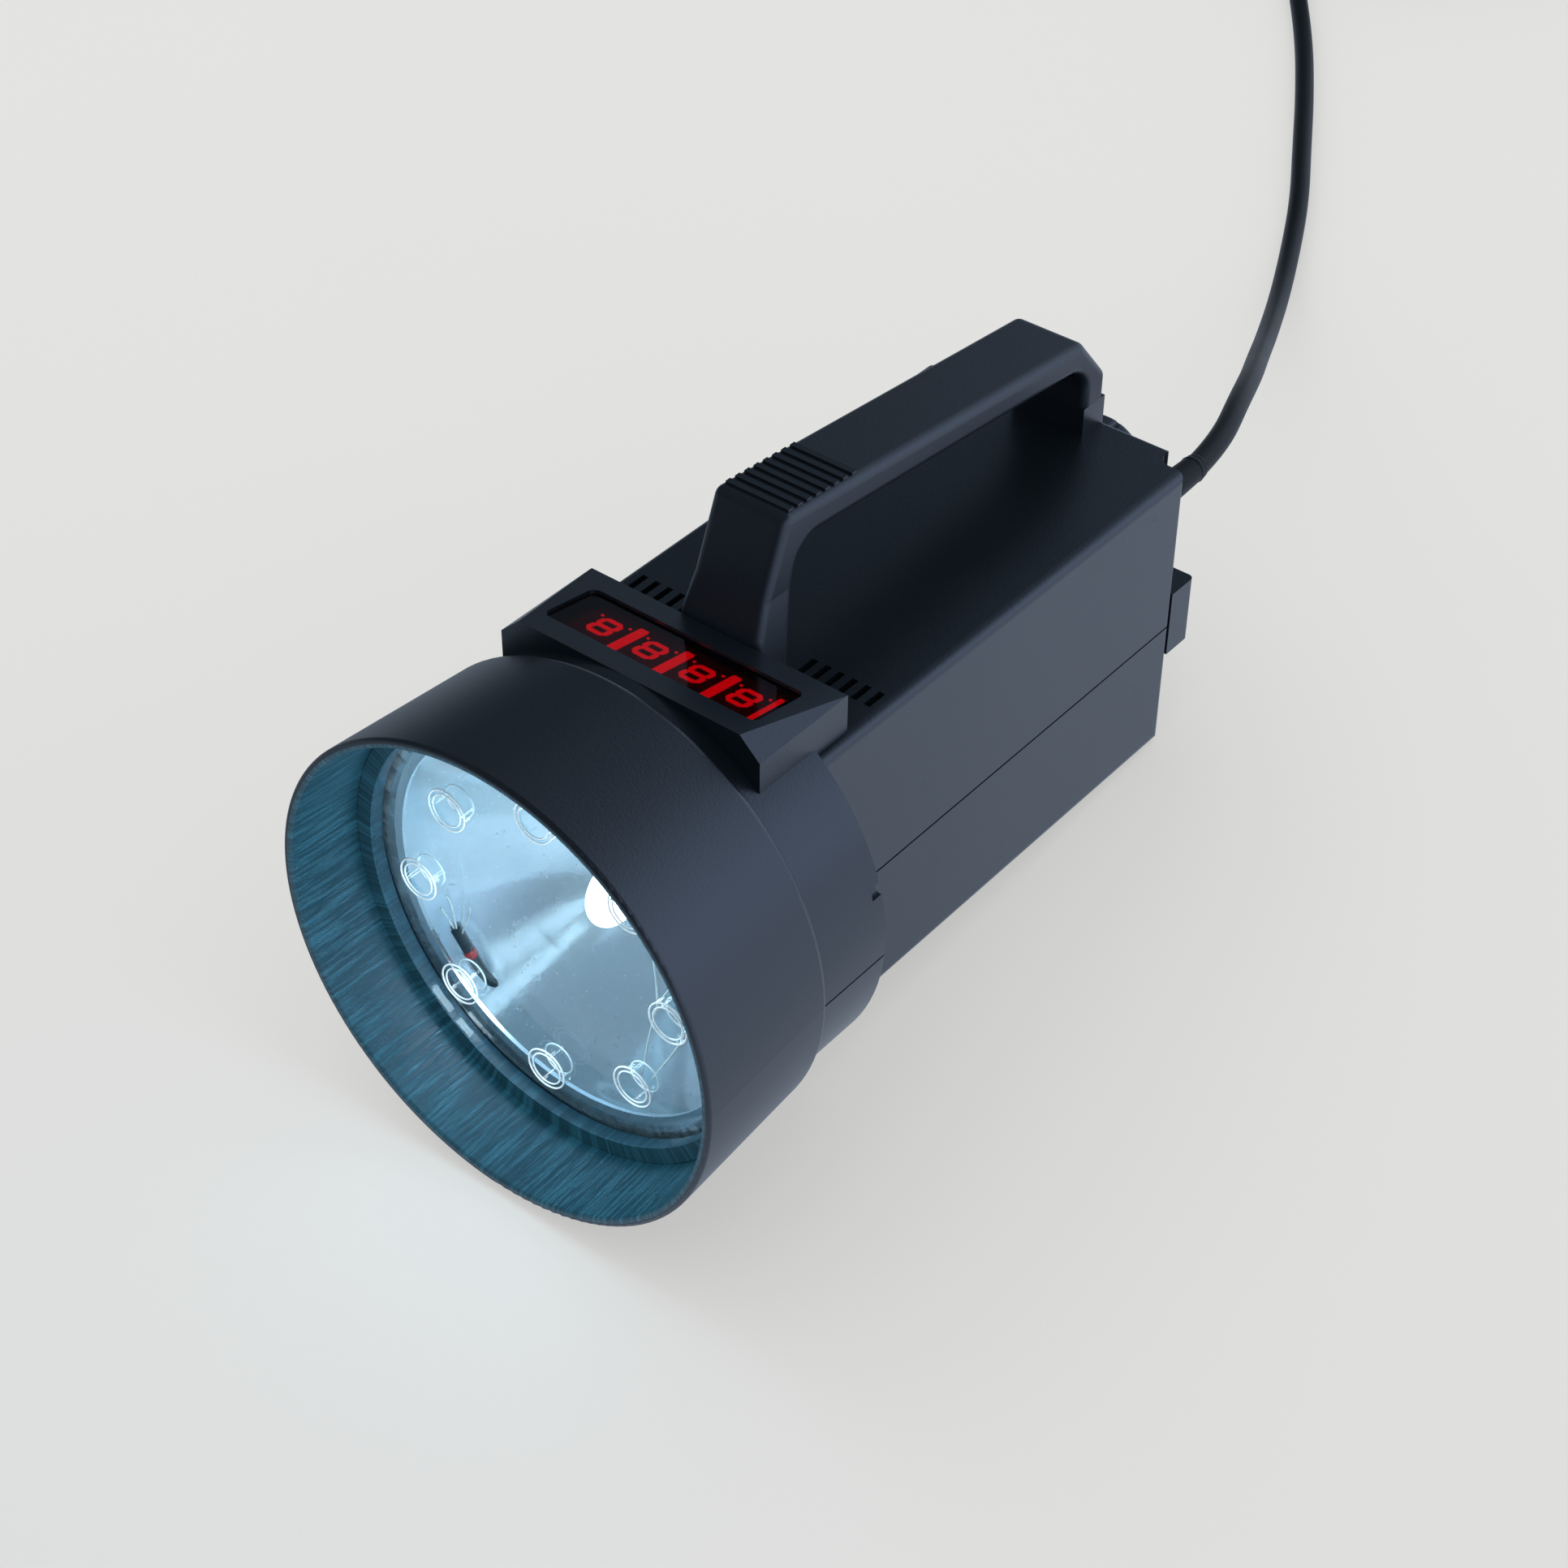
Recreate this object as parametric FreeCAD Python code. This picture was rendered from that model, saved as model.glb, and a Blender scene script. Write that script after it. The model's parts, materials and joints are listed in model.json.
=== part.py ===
import FreeCAD, Part
import math
import os
from FreeCAD import Vector, Placement, Rotation

# Xenon stroboscope, hand-held, in millimetres.
# Everything is drawn in the beam's own frame: the beam axis is the Y axis, the hood's open rim
# is at y = 0 and faces -Y, +X is on the right for someone who looks into the hood, +Z is up.
# At the end the lamp is leaned back until it stands on its hood and its rear edge.

# General clearances
slip = 0.15              # between a part and the one it slides into
seat = 0.05              # between a rod and the hole that holds it
running = 0.05           # radial, between a shaft and its bearing

# Round front part of the housing
collar_radius = 55.1
collar_wall = 2.5
collar_end = 64.2
seam_width = 0.5         # groove where the two shells meet
seam_depth = 0.35
side_notch_radius = 1.5  # small notch in the collar's rear edge
side_notch_depth = 3.0
side_notch_angle = 15.0  # over the middle of the right-hand side

# Hood
hood_step = 4.9          # how far its rim stands out beyond the collar
hood_radius = collar_radius + hood_step
hood_taper = 2.5         # how much smaller the radius is at the hood's rear
hood_length = 41.6
hood_wall = 2.4
hood_rim_round = 0.9
hood_shoulder = 2.0

# Front ring and clear front window of the lamp
ring_front = 19.0        # distance of the ring's face from the hood's rim
ring_thick = 3.6
ring_skirt = 8.0
ring_skirt_wall = 1.1
ring_lip = 2.7           # how far its inner edge stands in from the collar's outside
ring_bore = collar_radius - ring_lip
window_thick = 2.4
window_flange = 1.3
window_rise = 2.6        # how far the window's middle stands in front of its edge
window_sunk = 0.4        # how far that edge lies behind the ring's face
boss_count = 8
boss_pitch_radius = 35.4
boss_radius = 5.3
boss_bore = 3.9
boss_proud = 1.8

# Reflector and flash tube
bowl_inset = 7.6         # from the collar's outside to the bowl's rim
bowl_rim = collar_radius - bowl_inset
bowl_skin = 0.8          # the bowl's outer curve is moved out and back by this share of its wall
bowl_collar = 1.5        # length of the straight neck behind the bowl
bowl_wall = 1.2
bowl_neck = 12.0
bowl_depth = 31.0
bowl_flange = 1.0
tube_radius = 2.6
tube_half_width = 6.2
tube_bend = 34.5         # distance of the tube's bend from the hood's rim
tube_cap = 4.0
wire_gap = 1.2           # between the flash tube and the trigger wire's stem
wire_loop_place = 1.5    # the loop's distance behind the start of the tube's bend
wire_lead_in = 1.2
wire_rise = 3.0          # from the loop back to where the stem ends
socket_radius = 11.0
socket_length = 9.5
socket_grip = 6.0
trigger_wire_radius = 0.45
lamp_board_thick = 1.6
lamp_board_height = 52.0
lamp_board_place = 70.0

# Rectangular body
body_half_width = 37.5
body_top = 40.4
body_bottom = -39.2
body_wall = 2.5
body_edge_round = 2.5
body_end = 200.5         # where the sides end, in front of the two corner notches
body_rear = 206.6
plateau_half_width = 29.5
plateau_round = 1.5
notch_round = 3.5
rear_edge_round = 1.5
parting = -3.7
lug_length = 9.5
lug_height = 9.0
vent_count = 6
vent_pitch = 3.6
vent_width = 1.6
vent_length = 5.6
vent_first = 15.0
vent_place = 84.6

# Handle
grip_half_width = 10.0
post_flare = 0.12        # how fast the front post widens below the grip
flare_drop = 9.8         # from the grip's underside to where that starts
grip_front = 86.1
grip_front_height = 77.3
grip_rear = 196.2
grip_rear_height = 66.5
grip_thick_front = 8.5
grip_thick_rear = 7.5
front_post_foot = 9.6
rear_post_front = 198.0
rear_post_rear = 206.6
stub_height = 7.2
chamfer_share = 0.34     # where the rear chamfer ends, between the stub and the grip's top
grip_inner_round = 7.0
grip_corner = 2.6        # rounds of its outline at the top and rear
knee_round = 5.0
knee_step = 0.3          # how far that knee lies above the display housing's side edge
grip_edge_round = 2.2
rib_count = 8
rib_pitch = 3.1
rib_width = 1.5
rib_height = 0.6
rib_first = 3.0
rib_inset = 1.5          # how far a rib ends before the grip's sides
rib_root = 1.5           # how deep it starts inside the grip
handle_screw_x = 4.5
handle_screw_reach = 7.5
handle_screw_hole = 8.0

# Display housing on top of the collar
pod_half_width = 35.3
pod_front = 46.0
pod_rear = 75.0
pod_sink = 5.0           # how far its side edge lies below the collar's crown
pod_side_height = collar_radius - pod_sink
pod_inset = 5.3
pod_rise = 5.0
pod_wall = 2.2
pod_opening = 31.6       # half the width of the opening under it
window_length = 58.0
window_width = 16.8
window_corner = 2.0
filter_thick = 1.5
filter_depth = 0.8
filter_lip = 1.2
digit_count = 4
digit_pitch = 12.8
digit_width = 12.5
digit_length = 16.4
digit_height = 6.0
digit_gap = 0.3
display_board_thick = 1.6
display_board_length = 20.0

# Rear panel and its controls
panel_half_width = 26.0
panel_low = -33.0
panel_high = 34.0
panel_thick = 2.0
panel_lip = 1.0
panel_inset = 0.4
shaft_radius = 3.0
knob_bore = 9.0          # how far the shaft goes into its knob
knob_skirt = 4.0         # the knob's rim reaches this far back over the nut
knob_wall = 2.0
knob_round = 1.0
pot_floor = 2.0
bush_radius = 3.5
bush_length = 7.0
pot_radius = 8.2
pot_length = 9.0
nut_flats = 10.0
nut_thick = 2.0
knob_gap = 0.5
coarse_x = 0.0
coarse_z = 16.0
coarse_radius = 12.0
coarse_length = 14.0
fine_x = -13.5
fine_z = -14.0
fine_radius = 8.0
fine_length = 12.0
flute_count = 12
flute_radius = 1.3
flute_depth = 0.45       # a flute's axis lies this share of its radius outside the knob
pointer_width = 1.2
pointer_depth = 0.6
switch_x = 12.5
switch_z = -14.0
switch_width = 12.0
switch_height = 18.0
switch_depth = 12.0
switch_bezel = 1.4
switch_bezel_thick = 1.2
switch_wall = 0.9
rocker_tilt = 9.0
rocker_gap = 0.35
rocker_pin_radius = 1.0
rocker_pin_depth = 3.0
rocker_proud = 2.0
rocker_dip = 1.2         # depth of the shallow V in its face
jack_x = -1.0
jack_z = -27.0
jack_bore = 1.8
jack_bush = 3.0
jack_body = 4.4
jack_length = 12.0
jack_nose = 2.2
jack_nut_flats = 8.4

# Electronics inside the body
board_level = -12.0
board_thick = 1.6
board_side_gap = 4.5     # from the body's outside to the board's edge
board_half_width = body_half_width - board_side_gap
board_front = 84.0
board_rear = 186.0
board_boss_radius = 3.4
board_screw_inset = 6.0
board_screw_depth = 8.0
core_width = 34.0
core_length = 30.0
core_height = 27.0
core_place = 118.0
winding_out = 5.0
capacitor_radius = 11.0
capacitor_length = 34.0
capacitor_place = 146.0
small_capacitor_radius = 6.5
small_capacitor_height = 22.0
small_capacitor_place = 91.0
small_capacitor_x = (-14.5, 0.0)
coil_radius = 5.5
coil_height = 14.0
coil_place = 96.0
sink_width = 24.0
sink_height = 22.0
sink_place = 178.0
sink_thick = 5.0
fin_gap = 2.4
fin_pitch = 4.0
fin_count = 5
fin_root = 1.5           # thickness of the plate behind the gaps
coil_x = 18.0
chip_count = 3
chip_length = 10.45
chip_width = 7.0
chip_height = 3.6
chip_pitch = 15.0
chip_x = -24.0
chip_place = 120.0

# Fasteners
screw_radius = 1.5
screw_head_radius = 2.8
screw_head = 2.0
screw_slot = 0.8         # width and depth of the slot in its head
screw_engagement = 16.0  # how far a front shell screw reaches above the parting plane
rear_screw_seat = 6.0    # how far a rear one's head lies below it
rear_screw_end = 7.0     # and how far its tip reaches above it
boss_outer = 3.8
front_screw_x = 31.0
front_screw_y = 76.5
tripod_place = 128.0
tripod_bore = 2.55
tripod_radius = 5.0
tripod_length = 9.0
tripod_hole = 8.0
tripod_skin = 1.2        # plastic left under the insert

# Mains lead
cord_radius = 2.9
gland_base = 3.6
gland_tip = 3.15
gland_length = 12.0
gland_x = 33.5
gland_z = 34.5
gland_root = 8.0
cord_straight = 14.0     # first stretch, still in line with the strain relief
coil_radius_out = 34.4   # centre line of the outermost turn
coil_pitch = 7.3
coil_layer = 6.5
coil_layers = 4
coil_half_turns = 3      # in each layer, before the half turn that climbs
coil_lift = 1.4
tie_thick = 0.8
tie_width = 8.0
tie_slack = 0.4
tie_corner = 1.0
tie_place = 115.0        # round the coil from its entry, in degrees
plug_length = 32.0
plug_width = 33.0
plug_neck = 15.0
plug_thick = 13.6
pin_radius = 2.0
pin_length = 19.0
pin_spacing = 18.6

nodes = {}


def box(x0, x1, y0, y1, z0, z1):
    """A block between two corners."""
    return Part.makeBox(x1 - x0, y1 - y0, z1 - z0, Vector(x0, y0, z0))


def rod(radius, y0, y1, x=0.0, z=0.0):
    """A cylinder along the beam."""
    return Part.makeCylinder(radius, y1 - y0, Vector(x, y0, z), Vector(0, 1, 0))


def post(radius, z0, z1, x, y):
    """An upright cylinder."""
    return Part.makeCylinder(radius, z1 - z0, Vector(x, y, z0), Vector(0, 0, 1))


def turned(points):
    """A ring turned about the beam from (radius, y) corners."""
    corners = [Vector(r, y, 0) for r, y in points]
    face = Part.Face(Part.makePolygon(corners + corners[:1]))
    return face.revolve(Vector(0, 0, 0), Vector(0, 1, 0), 360)


def joined(solids):
    """One solid from several that touch or overlap."""
    first = solids[0]
    return first.fuse(solids[1:]).removeSplitter() if len(solids) > 1 else first


def rounded_outline(corners, radii):
    """A closed wire through corners, each rounded by its own radius."""
    count = len(corners)
    edges = []
    starts = []
    ends = []
    mids = []
    for i, corner in enumerate(corners):
        before = (corners[i - 1] - corner).normalize()
        after = (corners[(i + 1) % count] - corner).normalize()
        radius = radii[i]
        if radius <= 0:
            starts.append(corner)
            ends.append(corner)
            mids.append(None)
            continue
        half = before.getAngle(after) / 2
        reach = radius / math.tan(half)
        centre = corner + (before + after).normalize() * (radius / math.sin(half))
        starts.append(corner + before * reach)
        ends.append(corner + after * reach)
        mids.append(centre + (corner - centre).normalize() * radius)
    for i in range(count):
        if mids[i] is not None:
            edges.append(Part.Arc(starts[i], mids[i], ends[i]).toShape())
        following = starts[(i + 1) % count]
        if (following - ends[i]).Length > 1e-6:
            edges.append(Part.LineSegment(ends[i], following).toShape())
    return Part.Wire(edges)


def prism(corners, radii, run):
    """A solid that carries a rounded outline along run."""
    return Part.Face(rounded_outline(corners, radii)).extrude(run)


def tapered_plate(x0, x1, outline, radii):
    """A side outline of (y, z) corners carried across the width from x0 to x1."""
    return prism([Vector(x0, y, z) for y, z in outline], radii, Vector(x1 - x0, 0, 0))


# Hood: a tapered tube whose rear part is thicker and grips the ring and the collar
def hood_outer_at(y):
    return hood_radius - hood_taper * y / hood_length


ring_back = ring_front + ring_thick
skirt_end = ring_back + ring_skirt
skirt_radius = collar_radius + slip + ring_skirt_wall


def make_hood():
    rear = hood_outer_at(hood_length)
    outline = [Vector(hood_radius, 0, 0), Vector(rear, hood_length, 0),
               Vector(collar_radius + slip, hood_length, 0),
               Vector(collar_radius + slip, skirt_end + slip, 0),
               Vector(skirt_radius + slip, skirt_end + slip, 0),
               Vector(skirt_radius + slip, ring_front, 0),
               Vector(hood_radius - hood_wall, 0, 0)]
    radii = [hood_rim_round, hood_shoulder, 0, 0, 0, 0, hood_rim_round]
    face = Part.Face(rounded_outline(outline, radii))
    return face.revolve(Vector(0, 0, 0), Vector(0, 1, 0), 360)


nodes["hood"] = make_hood()

# Ring that clamps the window against the collar, with a skirt over the collar's end
window_back = ring_back + window_flange
nodes["lens_ring"] = turned([
    (ring_bore, ring_front), (skirt_radius, ring_front), (skirt_radius, skirt_end),
    (collar_radius + slip, skirt_end), (collar_radius + slip, ring_back),
    (ring_bore, ring_back)])


# Clear window: a shallow dome with a flange and open bosses
dome_radius = (ring_bore ** 2 + window_rise ** 2) / (2 * window_rise)
dome_apex = ring_front + window_sunk - window_rise


def dome_y(radius):
    """Distance of the window's outer face from the hood's rim at a radius; the face is a sphere's."""
    return dome_apex + dome_radius - math.sqrt(dome_radius ** 2 - radius ** 2)


def make_window():
    plug = ring_bore - slip
    hollow = plug - window_thick
    apex = Vector(0, dome_y(0), 0)
    edge = Vector(plug, dome_y(plug), 0)
    hollow_y = dome_y(hollow) + window_thick
    middle = Vector(plug / 2, dome_y(plug / 2), 0)
    foot = Vector(0, window_back, 0)
    corners = [edge, Vector(plug, ring_back, 0), Vector(collar_radius, ring_back, 0),
               Vector(collar_radius, window_back, 0), foot, apex]
    edges = [Part.Arc(apex, middle, edge).toShape()]
    edges += [Part.LineSegment(p, q).toShape() for p, q in zip(corners[:-1], corners[1:])]
    face = Part.Face(Part.Wire(edges))
    body = face.revolve(Vector(0, 0, 0), Vector(0, 1, 0), 360)
    core = Part.Face(Part.Wire([
        Part.Arc(Vector(0, dome_y(0) + window_thick, 0),
                 Vector(hollow / 2, dome_y(hollow / 2) + window_thick, 0),
                 Vector(hollow, hollow_y, 0)).toShape(),
        Part.LineSegment(Vector(hollow, hollow_y, 0), Vector(hollow, window_back + 1, 0)).toShape(),
        Part.LineSegment(Vector(hollow, window_back + 1, 0), Vector(0, window_back + 1, 0)).toShape(),
        Part.LineSegment(Vector(0, window_back + 1, 0), Vector(0, dome_y(0) + window_thick, 0)).toShape()]))
    body = body.cut(core.revolve(Vector(0, 0, 0), Vector(0, 1, 0), 360))
    # The dome's seam lies midway between two bosses
    body.rotate(Vector(0, 0, 0), Vector(0, 1, 0), 180 / boss_count)
    front = dome_y(boss_pitch_radius)
    bosses = []
    bores = []
    for i in range(boss_count):
        angle = math.radians(90 + i * 360 / boss_count)
        x = boss_pitch_radius * math.cos(angle)
        z = boss_pitch_radius * math.sin(angle)
        bosses.append(rod(boss_radius, front - boss_proud, front + window_thick / 2, x, z))
        bores.append(rod(boss_bore, front - boss_proud - 1, front + window_thick + 2, x, z))
    return joined([body] + bosses).cut(Part.makeCompound(bores))


nodes["front_window"] = make_window()
collar_front = window_back

# Reflector: a bowl with the form of a parabola, a rim flange and an open neck
bowl_front = collar_front + bowl_flange


def bowl_y(radius):
    steepness = bowl_depth / (bowl_rim ** 2 - bowl_neck ** 2)
    return bowl_front + bowl_depth - steepness * (radius ** 2 - bowl_neck ** 2)


def make_reflector():
    steps = 6
    radii = [bowl_neck + (bowl_rim - bowl_neck) * i / steps for i in range(steps + 1)]
    inner = Part.BSplineCurve()
    inner.interpolate([Vector(r, bowl_y(r), 0) for r in radii])
    outer = Part.BSplineCurve()
    skin = bowl_wall * bowl_skin
    outer.interpolate([Vector(r + skin, bowl_y(r) + skin, 0) for r in radii])
    rim_in = Vector(bowl_rim, bowl_y(bowl_rim), 0)
    neck_in = Vector(bowl_neck, bowl_y(bowl_neck), 0)
    rim_out = outer.value(outer.LastParameter)
    neck_out = outer.value(outer.FirstParameter)
    flange = collar_radius - collar_wall / 2 - slip
    corners = [rim_in, Vector(bowl_rim, collar_front, 0), Vector(flange, collar_front, 0),
               Vector(flange, bowl_front, 0), Vector(rim_out.x, bowl_front, 0), rim_out]
    edges = [inner.toShape()]
    edges += [Part.LineSegment(a, b).toShape() for a, b in zip(corners[:-1], corners[1:])
              if (a - b).Length > 1e-6]
    neck_end = max(neck_out.y, neck_in.y) + bowl_collar
    edges += [outer.toShape(),
              Part.LineSegment(neck_out, Vector(neck_out.x, neck_end, 0)).toShape(),
              Part.LineSegment(Vector(neck_out.x, neck_end, 0), Vector(neck_in.x, neck_end, 0)).toShape(),
              Part.LineSegment(Vector(neck_in.x, neck_end, 0), neck_in).toShape()]
    face = Part.Face(Part.Wire(Part.__sortEdges__(edges)))
    return face.revolve(Vector(0, 0, 0), Vector(0, 1, 0), 360), neck_end


nodes["reflector"], neck_end = make_reflector()

# Flash tube bent to a U, held by its legs in a socket on the lamp board
board_face = lamp_board_place
socket_front = board_face - socket_length
tube_foot = socket_front + socket_grip
bend_y = tube_bend + tube_half_width


def u_wire(y_front, y_back, half):
    """The U's centre line: two legs and a half circle, in the upright plane of the beam."""
    middle = y_front + half
    legs = [Part.LineSegment(Vector(0, y_back, half), Vector(0, middle, half)).toShape(),
            Part.Arc(Vector(0, middle, half), Vector(0, y_front, 0), Vector(0, middle, -half)).toShape(),
            Part.LineSegment(Vector(0, middle, -half), Vector(0, y_back, -half)).toShape()]
    return Part.Wire(legs)


def swept_round(path, radius):
    """A round bar along a path."""
    first = path.Edges[0]
    start = first.valueAt(first.FirstParameter)
    along = first.tangentAt(first.FirstParameter)
    circle = Part.Wire(Part.makeCircle(radius, start, along))
    return path.makePipeShell([circle], True, False)


nodes["flash_tube"] = swept_round(u_wire(tube_bend, tube_foot - tube_cap, tube_half_width), tube_radius)
nodes["tube_caps"] = Part.makeCompound([
    rod(tube_radius, tube_foot - tube_cap, tube_foot, 0, z)
    for z in (-tube_half_width, tube_half_width)])
socket_holes = [rod(tube_radius + seat, tube_foot - socket_grip - 1, tube_foot, 0, z)
                for z in (-tube_half_width, tube_half_width)]
wire_x = tube_radius + trigger_wire_radius + wire_gap
wire_hole = rod(trigger_wire_radius + seat, socket_front - 1, tube_foot, wire_x, 0)
nodes["lamp_socket"] = rod(socket_radius, socket_front, board_face).cut(
    Part.makeCompound(socket_holes + [wire_hole]))


# Trigger wire: rises from the socket beside the tube and ends in a loop round its bend
def make_trigger_wire():
    loop = tube_radius + trigger_wire_radius + seat
    loop_y = bend_y + wire_loop_place
    middle = Vector(0, loop_y, tube_half_width)
    touch = math.radians(-50)
    reach = middle + Vector(loop * math.cos(touch), 0, loop * math.sin(touch))
    around = middle + Vector(-loop * math.cos(touch), 0, -loop * math.sin(touch))
    last = middle + Vector(loop * math.cos(touch - 0.9), 0, loop * math.sin(touch - 0.9))
    stem_top = Vector(wire_x, loop_y + wire_rise, 0)
    tangent = Vector(-math.sin(touch), 0, math.cos(touch))
    lead_in = reach - tangent * wire_lead_in
    ring = Part.Arc(reach, around, last).toShape()
    stem = Part.LineSegment(Vector(wire_x, tube_foot, 0), stem_top).toShape()
    link = Part.LineSegment(stem_top, lead_in).toShape()
    path = Part.Wire([stem, link, Part.LineSegment(lead_in, reach).toShape(), ring])
    circle = Part.Wire(Part.makeCircle(trigger_wire_radius, Vector(wire_x, tube_foot, 0), Vector(0, 1, 0)))
    return path.makePipeShell([circle], True, False, 2)


nodes["trigger_wire"] = make_trigger_wire()
inner_half_width = body_half_width - body_wall
nodes["lamp_board"] = box(-inner_half_width + seat, inner_half_width - seat,
                          board_face, board_face + lamp_board_thick,
                          -lamp_board_height / 2, lamp_board_height / 2)


# Body: where the plan, the cross-section and the side view agree there is material
def body_block(shrink, front, rear_shrink):
    w = body_half_width - shrink
    p = plateau_half_width - shrink
    top = body_top - shrink
    low = body_bottom + shrink
    rear = body_rear - rear_shrink
    step = body_end - rear_shrink
    edge = max(body_edge_round - shrink, 0.5)
    end_edge = max(rear_edge_round - shrink, 0.3)
    plan = prism(
        [Vector(-w, front, low), Vector(w, front, low), Vector(w, step, low), Vector(p, step, low),
         Vector(p, rear, low), Vector(-p, rear, low), Vector(-p, step, low), Vector(-w, step, low)],
        [0, 0, plateau_round, notch_round, plateau_round, plateau_round, notch_round, plateau_round],
        Vector(0, 0, top - low))
    section = prism(
        [Vector(-w, front, low), Vector(w, front, low), Vector(w, front, top), Vector(-w, front, top)],
        [edge] * 4, Vector(0, rear - front, 0))
    side = prism(
        [Vector(-w, front, low), Vector(-w, rear, low), Vector(-w, rear, top), Vector(-w, front, top)],
        [0, end_edge, end_edge, 0], Vector(2 * w, 0, 0))
    return plan.common(section).common(side)


def make_housing():
    """The whole hollow housing, before it is parted into the two shells."""
    collar = rod(collar_radius, collar_front, collar_end)
    collar_hollow = rod(collar_radius - collar_wall, collar_front - 1, collar_end - collar_wall)
    rebate = rod(collar_radius - collar_wall / 2, collar_front - 1, bowl_front)
    outer = joined([collar, body_block(0, collar_end - collar_wall, 0)])
    inner = body_block(body_wall, collar_end - 2 * collar_wall, body_wall)
    housing = outer.cut(Part.makeCompound([collar_hollow, rebate])).cut(inner)
    lugs = []
    for side in (-1, 1):
        x0, x1 = sorted((side * plateau_half_width, side * body_half_width))
        lugs.append(prism(
            [Vector(x0, body_end, parting - lug_height), Vector(x1, body_end, parting - lug_height),
             Vector(x1, body_end + lug_length, parting - lug_height),
             Vector(x0, body_end + lug_length, parting - lug_height)],
            [0, 0, plateau_round, plateau_round], Vector(0, 0, 2 * lug_height)))
    whole = joined([housing] + lugs)
    # The two shells meet in a shallow groove that runs round the collar, the body and the lugs' inner side
    kept = joined([rod(collar_radius - seam_depth, collar_front - 1, collar_end),
                   body_block(seam_depth, collar_end - collar_wall, seam_depth)] + lugs)
    slab = box(-2 * body_half_width, 2 * body_half_width, collar_front - 1, body_rear + 1,
               parting - seam_width / 2, parting + seam_width / 2)
    notch_way = math.radians(side_notch_angle)
    notch = rod(side_notch_radius, collar_end - side_notch_depth, collar_end + 1,
                collar_radius * math.cos(notch_way), collar_radius * math.sin(notch_way))
    return whole.cut(slab.cut(kept)).cut(notch)


def screw_places():
    rear_x = (plateau_half_width + body_half_width) / 2
    rear_y = body_end + lug_length / 2 + 0.6
    return [(-front_screw_x, front_screw_y), (front_screw_x, front_screw_y),
            (-rear_x, rear_y), (rear_x, rear_y)]


def make_shells():
    housing = make_housing()
    wide = hood_radius * 2
    above = box(-wide, wide, -wide, body_rear + wide, parting, wide)
    below = box(-wide, wide, -wide, body_rear + wide, -wide, parting)
    upper = housing.common(above)
    lower = housing.common(below)
    # Stub that carries the handle's rear post
    stub = tapered_plate(-grip_half_width, grip_half_width,
                         [(rear_post_front, body_top - 1), (rear_post_rear, body_top - 1),
                          (rear_post_rear, body_top + stub_height),
                          (rear_post_front, body_top + stub_height)], [0, 0, 0, 0])
    # Bosses for the two front screws
    upper_bosses = [post(boss_outer, parting, body_top - 1, x, y) for x, y in screw_places()[:2]]
    lower_bosses = [post(boss_outer, body_bottom + 1, parting, x, y) for x, y in screw_places()[:2]]
    # Pillars under the main board
    for x, y in board_screw_places():
        lower_bosses.append(post(board_boss_radius, body_bottom + 1, board_level, x, y))
    lower_bosses.append(post(tripod_radius + 2, body_bottom + 1,
                             body_bottom + tripod_length + 2, 0, tripod_place))
    upper = joined([upper, stub] + upper_bosses)
    lower = joined([lower] + lower_bosses)
    cuts = []
    for i in range(vent_count):
        for side in (-1, 1):
            middle = side * (vent_first + i * vent_pitch)
            cuts.append(box(middle - vent_width / 2, middle + vent_width / 2,
                            vent_place, vent_place + vent_length,
                            body_top - body_wall - 1, body_top + 1))
    cuts.append(box(-pod_opening, pod_opening, pod_front, pod_rear - pod_wall - 1,
                    body_top - body_wall - 3, hood_radius))
    for x, y in screw_places():
        reach = screw_tip(x)
        cuts.append(post(screw_radius + seat, parting - 1, reach, x, y))
    for x, y in handle_screw_places():
        cuts.append(post(screw_radius + seat, body_top - body_wall - 1,
                         body_top + stub_height + 1, x, y))
    cuts.append(rod(gland_tip + seat, body_end - body_wall - gland_root - 1, body_end + 1,
                    gland_x, gland_z))
    cuts.append(rod(gland_base + seat, body_end, body_rear, gland_x, gland_z))
    cuts.append(panel_hole())
    upper = upper.cut(Part.makeCompound(cuts))
    drills = []
    for x, y in screw_places():
        drills.append(post(screw_radius + seat, body_bottom - 1, parting + 1, x, y))
        drills.append(post(screw_head_radius + slip, body_bottom - 30,
                           head_level(x), x, y))
    for x, y in board_screw_places():
        drills.append(post(screw_radius + seat, board_level - board_screw_depth, board_level + 1, x, y))
    drills.append(post(tripod_radius + seat, body_bottom + tripod_skin,
                       body_bottom + tripod_skin + tripod_length, 0, tripod_place))
    drills.append(post(tripod_bore + 1.0, body_bottom - 1, body_bottom + 2, 0, tripod_place))
    drills.append(panel_hole())
    lower = lower.cut(Part.makeCompound(drills))
    return upper, lower


def screw_tip(x):
    """How high a shell screw reaches: the rear ones are short."""
    return parting + (rear_screw_end if abs(x) > front_screw_x + 1 else screw_engagement)


def head_level(x):
    """Seat of a shell screw's head in the lower shell."""
    front_seat = body_bottom + screw_head + 1.0
    return parting - rear_screw_seat if abs(x) > front_screw_x + 1 else front_seat


def board_screw_places():
    x = board_half_width - board_screw_inset
    return [(sx * x, y) for sx in (-1, 1)
            for y in (board_front + board_screw_inset, board_rear - board_screw_inset)]


def handle_screw_places():
    front = pod_rear + front_post_foot / 2 + 0.6
    rear = (rear_post_front + rear_post_rear) / 2 - body_wall / 2
    return [(side * handle_screw_x, y) for y in (front, rear) for side in (-1, 1)]


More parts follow.
